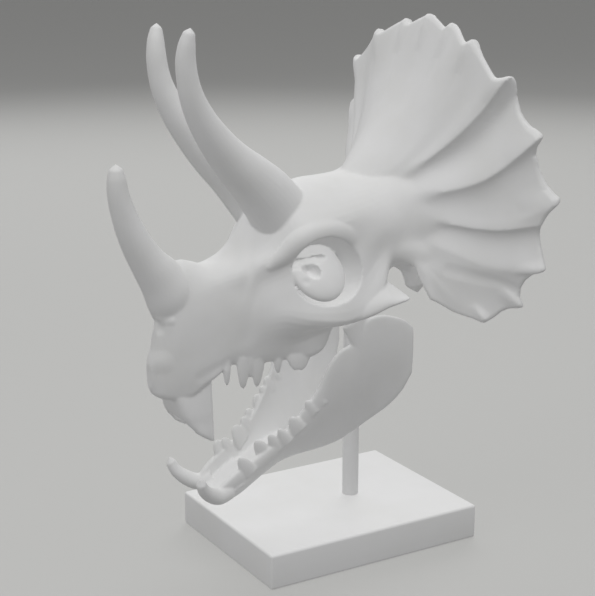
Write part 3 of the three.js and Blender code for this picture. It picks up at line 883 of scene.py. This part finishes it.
@dataclass
class Cranium:
    """Skull body with its frill, horns, cheeks, eye sockets, beak and upper teeth.

    Attributes:
        voxel: size of the skin's faces.
        triangles: most triangles that the finished piece may have.
        nasal_horn: rows of y, z, half-width across and half-width fore and aft.
        nasal_tip: point of the nasal horn.
        brow_horn: rows of x, y, z, half-width across and half-width along the bend.
        brow_tip: point of the brow horn.
        sections: (y, half-section of x and z) from snout to occiput.
        body_around: points round each section.
        body_steps: sections from end to end.
        cheek_spur: rows of y, inner x, outer x, lower z and upper z.
        cheek_tip: point of the cheek spur.
        cheek_outline: section of the cheek spur, in shares of its width and height.
        cheek_around: points round the cheek spur.
        cheek_steps: sections along the cheek spur.
        temporal_bar: rows as for the brow horn, from the socket to the frill's root.
        temporal_tip: end of the temporal bar.
        brow_ridge: rows as for the brow horn, over the socket.
        brow_ridge_tip: rear end of the brow ridge.
        quadrate: rows as for the brow horn, down behind the cheek.
        quadrate_tip: lower end of the quadrate.
        beak: rows of z, front y, half-width in front and half-width behind.
        beak_hollow: rows as for the beak, of the hollow inside it.
        beak_back: y of the beak's rear.
        beak_swell: how far its sides swell out and its front lies back.
        beak_wall: thickness of its rear wall.
        beak_around: points round the beak.
        beak_steps: sections from its top to its edge.
        upper_teeth: rows of root y, then tip x, y and z, then half-length.
        lip: rows of y and x that the upper teeth grow from.
        lip_height: height of their roots.
        soft_places: rows of x, y, z, radius and smoothing rounds, where forms run together.
        strokes: grooves and ridges worked into the skin.
        skin_rounds: smoothing rounds before the soft places and the strokes.
        last_rounds: smoothing rounds after them.
    """

    voxel: float = 0.7
    triangles: int = 192_000
    nasal_horn: Rows = (
        (-85, 138, 10.6, 15), (-92, 148, 11.6, 15.2), (-99.6, 158.4, 10, 11.8), (-106.7, 168, 8.6, 9.2),
        (-113.2, 179.6, 7.4, 7.7), (-118, 191.5, 6.4, 6.5), (-120.9, 202.5, 5.5, 5.5),
        (-121.6, 210, 4.8, 4.8), (-121.8, 215, 3.4, 3.4),
    )
    nasal_tip: Row = (0, -121.8, 217.8)
    brow_horn: Rows = (
        (9, -36, 187, 12.3, 16), (10, -45, 197.5, 11.8, 14.8), (11, -54, 206.3, 10.8, 12.8),
        (12, -62.9, 214.2, 9.6, 11), (12.9, -71, 222.7, 8.6, 9.4), (14.4, -82, 237.4, 7.1, 7.4),
        (15.5, -88, 249.4, 6, 6.1), (16, -90.4, 258.5, 5.4, 5.4), (16.3, -91.3, 267, 5, 5),
        (17.2, -90.9, 274.5, 4.2, 4.2), (18.1, -90, 280, 2.9, 2.9),
    )
    brow_tip: Row = (18.7, -89.5, 282.6)
    sections: Sequence[tuple[float, Rows]] = (
        (-107.4, ((0, 114.5), (1.2, 114), (2.2, 112.8), (2.8, 111.3), (3, 109.5), (3, 107.7), (2.8, 105.9),
                  (2.4, 104.2), (1.9, 103), (1.1, 102.2), (0, 102))),
        (-105.6, ((0, 120.5), (1.7, 119.8), (3, 117.8), (3.9, 115), (4.4, 111.5), (4.4, 108),
                  (4.2, 104.6), (3.7, 101.8), (3, 99.6), (1.7, 98.4), (0, 98.4))),
        (-103, ((0, 135), (2.2, 134), (3.9, 130.6), (5.1, 125), (6.4, 119), (7.2, 113), (7.4, 108),
                (7, 103), (6, 98.6), (3.5, 96.6), (0, 96.6))),
        (-97, ((0, 160), (5.2, 156), (8.8, 146), (10.8, 134), (11.6, 125), (11.8, 116), (11.8, 109.5),
               (11.3, 103), (9.8, 97), (6.5, 95.5), (0, 96))),
        (-90, ((0, 166.4), (5.6, 163), (10.4, 152.5), (13, 140), (14, 129), (14.3, 119),
               (14.4, 111.5), (13.9, 104), (12.6, 97.8), (8.5, 96.5), (0, 98))),
        (-83, ((0, 165.2), (6.4, 162.4), (11.8, 154.4), (14.8, 144), (15.9, 133), (16.2, 123),
               (16.3, 115.6), (15.9, 108.6), (14.8, 103.2), (10, 101.8), (0, 104))),
        (-76, ((0, 163), (6.9, 161.8), (13, 156.2), (15.9, 147), (17.4, 137), (17.9, 127),
               (18, 120), (17.7, 113.8), (17, 108.6), (12, 107.5), (0, 111))),
        (-70, ((0, 164.4), (7.5, 163), (13.8, 158), (16.8, 149), (18.3, 140), (18.9, 131), (19, 125),
               (18.6, 118), (16.8, 112.6), (13, 111.7), (0, 117))),
        (-62, ((0, 170.6), (7, 167.2), (16.4, 160.4), (18.6, 151.5), (20.3, 143.5), (20.8, 135), (20.6, 128),
               (20.2, 119.6), (17.9, 112.2), (14, 111.4), (0, 119))),
        (-55, ((0, 180), (8, 174.4), (14, 167), (19.8, 162.8), (21, 152.5), (23.8, 141.5), (24.2, 133),
               (22.4, 122), (19.3, 112), (15, 111.6), (0, 120))),
        (-46, ((0, 193), (10, 186.5), (17.4, 174.6), (24.8, 167.6), (24.4, 157.5), (27.8, 146.5), (30, 136.5),
               (25.6, 123.6), (20.8, 112), (16, 112), (0, 121))),
        (-36, ((0, 198.5), (11.5, 195), (21.5, 187), (28.6, 179), (29, 162), (33.2, 147), (36.6, 134.5),
               (26.8, 124), (22.4, 112), (17.5, 112.6), (0, 122))),
        (-26, ((0, 200.6), (12, 197.6), (23.5, 190.6), (31.2, 181.6), (31.5, 164), (36.2, 147.5),
               (40.2, 133), (29, 127), (25, 112.4), (19, 113.6), (0, 123))),
        (-19, ((0, 201.3), (12, 198.8), (24, 192.2), (32.2, 183), (32.5, 166), (38, 149), (42, 132.5),
               (31, 129), (25.5, 116), (20, 117), (0, 125))),
        (-14, ((0, 201.8), (12, 199.6), (24, 193.4), (32.6, 183.4), (33, 167), (39.2, 150), (43, 133),
               (34, 132), (27, 131), (19, 131), (0, 132))),
        (-3, ((0, 202), (12, 200.2), (23.8, 195), (32.2, 185.6), (34.6, 172), (38, 154), (43.4, 136.6),
              (36, 135), (27, 135), (18, 136), (0, 137))),
        (8, ((0, 202.2), (12, 201), (23, 196.6), (31, 188), (34.8, 176.5), (35.2, 163),
             (40.5, 147), (34, 142), (27, 141), (18, 142), (0, 143))),
        (17, ((0, 203.2), (12, 202.4), (23, 199), (31, 191), (35.4, 181), (36, 171),
              (34.6, 160), (28, 151.5), (20, 149), (10, 148), (0, 147))),
        (26, ((0, 207), (11, 207), (22, 203.5), (31, 196), (36, 185), (37.5, 173),
              (36, 164), (28, 158), (18, 156), (8, 155), (0, 155))),
        (32, ((0, 209), (10, 209), (21, 205), (32, 198), (39, 187), (40.5, 175),
              (38, 167), (29, 163), (18, 160), (8, 158), (0, 158))),
        (38, ((0, 206), (9, 206), (20, 203), (33, 197), (42.5, 187), (44, 177),
              (40, 169), (29, 165), (18, 163), (8, 162), (0, 162))),
    )
    body_around: int = 72
    body_steps: int = 96
    cheek_spur: Rows = (
        (-12, 30, 42.6, 131.5, 156), (-1, 31, 45.4, 134.6, 156.4), (7, 32.5, 47, 138, 155),
        (13, 36, 48, 140, 150), (18, 41.6, 48.2, 141.4, 145.5),
    )
    cheek_tip: Row = (47.6, 20.4, 142.6)
    cheek_outline: Rows = (
        (0, 0.2), (0.2, 0), (0.75, 0), (1, 0.08), (0.96, 0.24), (0.62, 0.54), (0.3, 0.82), (0.02, 1),
    )
    cheek_around: int = 32
    cheek_steps: int = 30
    temporal_bar: Rows = (
        (27, -4, 171, 5, 8), (29, 8, 168.5, 5, 8), (31.5, 18, 166, 4.6, 7.5), (36, 27, 164.5, 4, 6.6),
        (41, 34, 162.5, 3, 5.5),
    )
    temporal_tip: Row = (46, 39, 161)
    brow_ridge: Rows = (
        (21, -50, 161.6, 2.4, 2.6), (24, -42.6, 167.4, 4.4, 5), (26.6, -33, 175.2, 6.2, 7),
        (28, -21, 178.4, 6.2, 7.4), (29.2, -11, 177, 5.6, 7), (30, -4, 171.5, 4.4, 5.6),
    )
    brow_ridge_tip: Row = (31, -1, 164)
    quadrate: Rows = (
        (27, 16, 166, 5, 6), (28, 25, 160.5, 5.4, 6), (28.4, 32, 156, 5.6, 6.4),
        (28.5, 35.4, 150, 5.4, 6.7), (28.5, 36.6, 144.4, 4.8, 6.2),
    )
    quadrate_tip: Row = (28.4, 37.6, 138.8)
    beak: Rows = (
        (110, -98, 5, 13.4), (100, -97.6, 9.4, 14), (95, -96, 11, 14.4), (87.5, -93.8, 12.4, 15),
        (83.4, -91.8, 12.8, 15.2), (80, -89, 13.6, 15.6), (77, -86.2, 14.4, 15.9), (73.2, -80.6, 15, 16),
    )
    beak_hollow: Rows = (
        (100, -82, 1, 3), (91, -87, 6.6, 9.5), (85.6, -90.4, 9.4, 11.2), (81.5, -96, 10.4, 11.8),
        (70, -96, 12, 12.8),
    )
    beak_back: float = -79.0
    beak_swell: float = 0.8
    beak_wall: float = 2.0
    beak_around: int = 40
    beak_steps: int = 30
    upper_teeth: Rows = (
        (-71.6, 17, -71.8, 101.6, 2.4), (-62.6, 18, -63.1, 98.8, 3.9), (-58.6, 18.2, -58.6, 104.4, 3.4),
        (-54.4, 18.8, -55.4, 98.8, 3.9), (-44, 21, -44.2, 105, 2.6), (-35.6, 23.6, -34.6, 105.6, 5),
        (-31, 24, -32, 105.4, 5.6),
    )
    lip: Rows = ((-80, 15.2), (-70, 16.6), (-58, 18.4), (-48, 20), (-38, 21.8), (-26, 23.6))
    lip_height: float = 116.0
    soft_places: Rows = (
        (41, 29, 184, 17, 70), (36, 26, 200, 15, 60), (38, 26, 166, 14, 60), (34, 4, 176, 14, 40),
        (28, -24, 190, 11, 40),
    )
    strokes: Sequence[Stroke] = (
        Stroke(((4.4, -103, 133.4),), 4.2, 0.7),
        Stroke(((4, -103, 137.6), (9, -98.6, 138)), 3, -0.6),
        Stroke(((3.4, -104.6, 116), (7.4, -102.6, 116.6)), 7, -0.8),
        Stroke(((15.4, -86, 108), (17.2, -79, 111.5), (18.8, -72, 114)), 4, 0.35),
        Stroke(((50.6, 42.1, 155.5), (62, 52.9, 152.8), (69.4, 60.2, 151.4), (76, 67.2, 147.9)), 5, 0.7,
               Facing.FRONT),
    )
    skin_rounds: int = 8
    last_rounds: int = 2

    def spur(self) -> Shell:
        """Build the cheek spur of the left side.

        Returns:
            The closed shell.
        """
        spread = np.arange(self.cheek_around) / self.cheek_around
        across, rise = curve(self.cheek_outline, spread, closed=True).T
        rings = [np.stack([inner + across * (outer - inner), np.full(len(across), y),
                           low + rise * (high - low)], axis=1)
                 for y, inner, outer, low, high in curve(self.cheek_spur, np.linspace(0, 1, self.cheek_steps))]
        return shell_over(np.stack(rings), self.cheek_tip)

    def wedge(self, rows: Rows, back_y: float) -> Shell:
        """Build the beak's outside or its hollow over level sections.

        Args:
            rows: rows of z, front y, half-width in front and half-width behind.
            back_y: y of the rear.

        Returns:
            The closed shell.
        """
        spread = np.arange(self.beak_around) / self.beak_around
        rings = []
        for z, front, nose, back in curve(rows, np.linspace(0, 1, self.beak_steps)):
            side = (nose + back) / 2 + self.beak_swell
            middle = (front + back_y) / 2
            loop = [(-back, back_y, z), (-side, middle, z), (-nose, front, z), (0, front - self.beak_swell, z),
                    (nose, front, z), (side, middle, z), (back, back_y, z)]
            rings.append(curve(loop, spread, closed=True))
        return shell_over(np.stack(rings))

    def teeth(self) -> list[Shell]:
        """Build the upper teeth of both sides.

        Returns:
            The closed shells.
        """
        lip = np.asarray(self.lip)
        shape = ToothShape()
        shells = []
        for y, *tip, half in self.upper_teeth:
            root = (np.interp(y, lip[:, 0], lip[:, 1]), y, self.lip_height)
            shells += both(shape.build(root, tip, (0, 1, 0), (1, 0, 0), half))
        return shells

    def build(self) -> bpy.types.Object:
        """Build the piece.

        Returns:
            The finished mesh object.
        """
        socket = EyeSocket()
        nasal = [(0, *row) for row in self.nasal_horn]
        body = carved(symmetric_body(self.sections, self.body_around, self.body_steps), both(socket.cutter()))
        bar = carved(taper(self.temporal_bar, self.temporal_tip), [socket.cutter()])
        cheek = carved(self.spur(), [socket.cutter()])
        brow = carved(taper(self.brow_ridge, self.brow_ridge_tip), [socket.cutter()])
        filling, disc = socket.shells()
        beak = carved(self.wedge(self.beak, self.beak_back),
                      [self.wedge(self.beak_hollow, self.beak_back + self.beak_wall)])
        piece = fused([
            body,
            Frill().build(),
            taper(nasal, self.nasal_tip),
            *both(taper(self.brow_horn, self.brow_tip)),
            *both(brow),
            *both(bar),
            *both(taper(self.quadrate, self.quadrate_tip)),
            *both(cheek),
            *both(filling),
            *both(disc),
            beak,
            *self.teeth(),
        ], "cranium_cast", self.voxel)
        relax(piece.data, self.skin_rounds)
        melt(piece.data, self.soft_places)
        sculpt(piece.data, self.strokes)
        relax(piece.data, self.last_rounds)
        return thinned(piece, self.triangles)

    def dress(self, resin: bpy.types.Material) -> None:
        """Build the piece and give it its finish."""
        dressed(self.build(), "cranium", resin)


# The lower jaw


@dataclass
class LowerJaw:
    """Two tall plates, the trough that joins them, two front spurs and two rows of teeth.

    Attributes:
        voxel: size of the skin's faces.
        triangles: most triangles that the finished piece may have.
        plate: rows of y, lower edge x and z, upper edge x and z, bulge and thickness.
        plate_outline: section of a plate, in shares of its thickness and height.
        plate_around: points round a plate's section.
        plate_steps: sections along a plate.
        chin: rows of y, half-width, lower z and upper z.
        floor: rows as for the chin, of the trough's floor behind it.
        trough_outline: section of both, in shares of their half-width and height.
        trough_around: points round that section.
        trough_steps: sections along each of them.
        coronoid: rows of x, y, z, half-width across and half-width along the bend.
        coronoid_tip: upper end of the inner tongue.
        spur: rows as for the tongue, of the front spur.
        spur_tip: point of the front spur.
        tooth_tips: rows of x, y, z and half-length, from front to rear.
        tooth_shape: what each tooth looks like.
        tooth_run: direction of the tooth row.
        tooth_across: direction across it.
        first_drop: depth of the first tooth's root.
        drop_loss: how much less deep the row ends.
        root_out: how far a root stands outside its tip.
        root_lean: how far it stands behind and below, as shares of its depth.
        far_swell: how much longer the teeth of the right side are.
        far_only: teeth that only the right side still has.
        rounds: smoothing rounds.
    """

    voxel: float = 0.6
    triangles: int = 192_000
    plate: Rows = (
        (-77, 6.6, 34.4, 12.8, 42, 1.2, 4.6), (-70, 8.9, 34.6, 14.2, 48.4, 1.4, 4.6),
        (-62, 10.1, 37.6, 15, 54, 1.6, 4.6), (-53, 10.5, 43.1, 15.8, 58.6, 1.8, 4.6),
        (-45, 10.9, 48, 17.2, 64, 2, 4.4), (-37.5, 11.6, 52, 19.2, 72, 2.2, 4.2),
        (-30, 12.9, 54.3, 22.2, 81, 2.4, 4), (-22.6, 14.4, 55.6, 26, 92.4, 2.6, 3.8),
        (-17, 16, 56.8, 29.4, 107, 2.8, 3.8), (-11.6, 17.7, 58.3, 31.4, 114, 3, 4.2),
        (-5.6, 19.9, 60.7, 33, 117.5, 3, 4.6), (2, 22.6, 65.5, 35, 129, 3, 5),
        (10, 26.5, 72, 36.8, 131.5, 2.6, 5.2), (18, 31.7, 79.5, 38, 130, 1.8, 5.2),
        (24, 35.6, 87.9, 38.6, 127.5, 0.8, 4.8), (28.5, 38.2, 98, 38.9, 123.5, 0.2, 4),
    )
    plate_outline: Rows = (
        (0.5, 0), (0.05, 0.04), (0, 0.3), (0, 0.7), (0.15, 0.97), (0.5, 1), (0.85, 0.97), (1, 0.7), (1, 0.3),
        (0.95, 0.04),
    )
    plate_around: int = 48
    plate_steps: int = 90
    chin: Rows = (
        (-76.8, 4.5, 35.6, 39), (-74.4, 9.4, 33.8, 40.4), (-70, 12.8, 34.4, 42), (-62, 14.5, 39.4, 46.5),
        (-55, 14.5, 44.6, 50.5),
    )
    floor: Rows = (
        (-60, 11.5, 40, 47), (-50, 11.5, 46, 51.5), (-40, 12, 51.6, 56.4), (-31, 13, 54.8, 59),
        (-25, 13.5, 57, 60),
    )
    trough_outline: Rows = (
        (-1, 0.85), (-0.8, 0.25), (-0.4, 0), (0.4, 0), (0.8, 0.25), (1, 0.85), (0.7, 1), (0, 0.9), (-0.7, 1),
    )
    trough_around: int = 40
    trough_steps: int = 40
    coronoid: Rows = ((31.5, 4.5, 112, 2.4, 8), (31.2, 1, 122, 2.6, 8.4), (30.5, -2.5, 130, 2.8, 9))
    coronoid_tip: Row = (29.5, -3, 142)
    spur: Rows = (
        (10.5, -68, 41.5, 4.4, 4.6), (12.2, -75, 40.4, 4.6, 4.4), (14.4, -81, 43.2, 4, 4),
        (16.4, -85.6, 47.4, 3.3, 3.3), (18, -88, 52, 2.7, 2.7),
    )
    spur_tip: Row = (18.7, -88.2, 55.2)
    tooth_tips: Rows = (
        (13.7, -63.8, 60.3, 4.8), (13, -59.4, 61.6, 3.6), (12.3, -53.2, 67.2, 4.8), (15.1, -46.5, 70.2, 4.2),
        (17.7, -42.2, 73.4, 3.8), (19.8, -36.1, 79.4, 4.8), (21, -31.4, 83.8, 3.2), (22.2, -28, 88, 4),
        (24, -22.8, 92.8, 2.6),
    )
    tooth_shape: ToothShape = ToothShape(half_width=2.4)
    tooth_run: Row = (0.3, 0.68, 0.67)
    tooth_across: Row = (1, -0.3, 0)
    first_drop: float = 9.0
    drop_loss: float = 3.0
    root_out: float = 0.6
    root_lean: Row = (0.75, 1.15)
    far_swell: float = 1.25
    far_only: Sequence[int] = (1, 6)
    rounds: int = 7

    def side_plate(self) -> Shell:
        """Build the plate of the left side.

        Returns:
            The closed shell.
        """
        spread = np.arange(self.plate_around) / self.plate_around
        inward, rise = curve(self.plate_outline, spread, closed=True).T
        rings = []
        for y, low_x, low_z, high_x, high_z, bulge, thick in curve(self.plate,
                                                                   np.linspace(0, 1, self.plate_steps)):
            x = low_x + (high_x - low_x) * rise + bulge * (1 - (2 * rise - 1) ** 2) - inward * thick
            rings.append(np.stack([x, np.full(len(x), y), low_z + (high_z - low_z) * rise], axis=1))
        return shell_over(np.stack(rings))

    def trough(self, rows: Rows) -> Shell:
        """Build a stretch of the floor between the plates, flat below and a little hollow above.

        Args:
            rows: rows of y, half-width, lower z and upper z.

        Returns:
            The closed shell.
        """
        spread = np.arange(self.trough_around) / self.trough_around
        across, rise = curve(self.trough_outline, spread, closed=True).T
        rings = [np.stack([across * half, np.full(len(across), y), low + rise * (high - low)], axis=1)
                 for y, half, low, high in curve(rows, np.linspace(0, 1, self.trough_steps))]
        return shell_over(np.stack(rings))

    def teeth(self) -> list[Shell]:
        """Build the lower teeth of both sides.

        Returns:
            The closed shells.
        """
        run = np.array(self.tooth_run) / np.linalg.norm(self.tooth_run)
        across = np.array(self.tooth_across) / np.linalg.norm(self.tooth_across)
        behind, below = self.root_lean
        shells = []
        for k, (*tip, half) in enumerate(self.tooth_tips):
            drop = self.first_drop - self.drop_loss * k / len(self.tooth_tips)
            root = np.array(tip) + (self.root_out, drop * behind, -drop * below)
            if k not in self.far_only:
                shells.append(self.tooth_shape.build(root, tip, run, across, half))
            far = self.tooth_shape.build(root, tip, run, across, half * self.far_swell)
            shells.append(mirrored(far))
        return shells

    def build(self) -> bpy.types.Object:
        """Build the piece.

        Returns:
            The finished mesh object.
        """
        piece = fused([
            *both(self.side_plate()),
            *both(taper(self.coronoid, self.coronoid_tip)),
            self.trough(self.chin),
            self.trough(self.floor),
            *both(taper(self.spur, self.spur_tip)),
            *self.teeth(),
        ], "lower_jaw_cast", self.voxel)
        relax(piece.data, self.rounds)
        return thinned(piece, self.triangles)

    def dress(self, resin: bpy.types.Material) -> None:
        """Build the piece and give it its finish."""
        dressed(self.build(), "lower_jaw", resin)


# The stand


@dataclass
class SupportRod:
    """Round rod from the plate into the underside of the skull.

    Attributes:
        radius: radius of the rod.
        y: where it stands on the plane of symmetry.
        sides: faces round it.
        bevel: width of the eased rims.
        bevel_steps: faces across each rim.
    """

    radius: float = 4.5
    y: float = 14.5
    sides: int = 96
    bevel: float = 0.25
    bevel_steps: int = 3

    def build(self) -> bpy.types.Object:
        """Build the piece between the ends of its solid.

        Returns:
            The finished mesh object.
        """
        low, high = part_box("support_rod")
        bm = bmesh.new()
        bmesh.ops.create_cone(bm, cap_ends=True, segments=self.sides, radius1=self.radius * MM,
                              radius2=self.radius * MM, depth=high.z - low.z)
        bmesh.ops.translate(bm, vec=(0, self.y * MM, (low.z + high.z) / 2), verts=bm.verts)
        rims = [edge for edge in bm.edges if any(len(face.verts) > 4 for face in edge.link_faces)]
        bmesh.ops.bevel(bm, geom=rims, affect="EDGES", offset=self.bevel * MM, segments=self.bevel_steps,
                        profile=0.5, material=-1)
        return piece_from(bm, "support_rod_turned")

    def dress(self, resin: bpy.types.Material) -> None:
        """Build the piece and give it its finish."""
        dressed(self.build(), "support_rod", resin)


@dataclass
class BasePlate:
    """Rectangular plate with softly rounded edges.

    Attributes:
        width: size along X.
        depth: size along Y.
        height: thickness.
        bevel: width of the rounded edges.
        bevel_steps: faces across each edge.
    """

    width: float = 100.0
    depth: float = 130.0
    height: float = 19.0
    bevel: float = 1.4
    bevel_steps: int = 6

    def build(self) -> bpy.types.Object:
        """Build the piece.

        Returns:
            The finished mesh object.
        """
        bm = bmesh.new()
        bmesh.ops.create_cube(bm, size=MM)
        bmesh.ops.scale(bm, vec=(self.width, self.depth, self.height), verts=bm.verts)
        bmesh.ops.translate(bm, vec=(0, 0, self.height / 2 * MM), verts=bm.verts)
        bmesh.ops.bevel(bm, geom=bm.edges[:], affect="EDGES", offset=self.bevel * MM,
                        segments=self.bevel_steps, profile=0.5, material=-1)
        return piece_from(bm, "base_plate_cast")

    def dress(self, resin: bpy.types.Material) -> None:
        """Build the piece and give it its finish."""
        dressed(self.build(), "base_plate", resin)


# The studio


@dataclass(frozen=True)
class Lamp:
    """Square soft lamp that looks at one point.

    Attributes:
        name: name of the lamp.
        at: where it hangs, in metres.
        aim: point that it looks at, in metres.
        size: length of its sides in metres.
        power: watts.
        shadow: whether it casts shadows.
        colour: colour of its light.
    """

    name: str
    at: Row
    aim: Row
    size: float
    power: float
    shadow: bool
    colour: str = "ffffff"

    def build(self) -> None:
        """Hang the lamp."""
        data = bpy.data.lights.new(self.name, "AREA")
        data.shape = "SQUARE"
        data.size = self.size
        data.energy = self.power
        data.use_shadow = self.shadow
        data.color = linear(self.colour)[:3]
        lamp = bpy.data.objects.new(self.name, data)
        lamp.location = self.at
        lamp.rotation_euler = (Vector(self.aim) - Vector(self.at)).to_track_quat("-Z", "Y").to_euler()
        bpy.context.scene.collection.objects.link(lamp)


@dataclass
class Studio:
    """Pale floor, soft lamps and the camera.

    Attributes:
        camera_at: place of the camera in metres.
        camera_back: direction from what it looks at back to the camera.
        lens: focal length in millimetres.
        sensor: width of its sensor in millimetres.
        floor_size: length of the floor's sides in metres.
        floor_colour: colour of the floor's matt paint.
        floor_roughness: roughness of that paint.
        sky: strength of the light from all round.
        sky_colour: colour of that light.
        lamps: the lamps.
    """

    camera_at: Row = (0.63194, -0.39489, 0.33183)
    camera_back: Row = (0.8314, -0.4932, 0.2559)
    lens: float = 86.50
    sensor: float = 36.0
    floor_size: float = 48.0
    floor_colour: str = "bebebc"
    floor_roughness: float = 0.8
    sky: float = 0.345
    sky_colour: str = "ffffff"
    lamps: Sequence[Lamp] = (
        Lamp("lamp_high_back", (0.636, 0.636, 1.689), (0, 0, 0.13), 1.2, 8.1, False),
        Lamp("lamp_high_front", (0.636, -0.636, 1.689), (0, 0, 0.13), 1.2, 10.5, False),
        Lamp("lamp_front", (0, -1.559, 1.03), (0, 0, 0.13), 1.2, 3.4, False),
        Lamp("lamp_far_side", (-1.559, 0, 1.03), (0, 0, 0.13), 1.2, 5.7, False),
        Lamp("lamp_far_back", (-1.102, 1.102, 1.03), (0, 0, 0.13), 1.2, 5.0, True),
    )

    def lay_floor(self) -> None:
        """Lay the floor, which throws no light back up at the object."""
        bm = bmesh.new()
        bmesh.ops.create_grid(bm, x_segments=1, y_segments=1, size=self.floor_size / 2)
        floor = piece_from(bm, "floor")
        paint = bpy.data.materials.new("painted_floor")
        paint.use_nodes = True
        shader = paint.node_tree.nodes["Principled BSDF"]
        shader.inputs["Base Color"].default_value = linear(self.floor_colour)
        shader.inputs["Roughness"].default_value = self.floor_roughness
        floor.data.materials.append(paint)
        floor.visible_diffuse = False

    def light(self) -> None:
        """Hang the lamps and set the light from all round."""
        for lamp in self.lamps:
            lamp.build()
        world = bpy.data.worlds.new("soft_sky")
        world.use_nodes = True
        sky = world.node_tree.nodes["Background"]
        sky.inputs["Color"].default_value = linear(self.sky_colour)
        sky.inputs["Strength"].default_value = self.sky
        bpy.context.scene.world = world
        bpy.context.scene.view_settings.view_transform = "Standard"

    def place_camera(self) -> None:
        """Set up the camera."""
        data = bpy.data.cameras.new("camera")
        data.sensor_width = self.sensor
        data.lens = self.lens
        camera = bpy.data.objects.new("camera", data)
        camera.location = self.camera_at
        camera.rotation_euler = (-Vector(self.camera_back)).to_track_quat("-Z", "Y").to_euler()
        bpy.context.scene.collection.objects.link(camera)
        bpy.context.scene.camera = camera

    def build(self) -> None:
        """Lay the floor, light it and set up the camera."""
        self.lay_floor()
        self.light()
        self.place_camera()


def main() -> None:
    """Build every piece."""
    logging.basicConfig(level=logging.INFO, format="%(name)s: %(message)s")
    skull_resin = SKULL_RESIN.material()
    Cranium().dress(skull_resin)
    LowerJaw().dress(skull_resin)
    SupportRod().dress(ROD_RESIN.material())
    BasePlate().dress(STAND_RESIN.material())
    Studio().build()


if __name__ == "__main__":
    main()
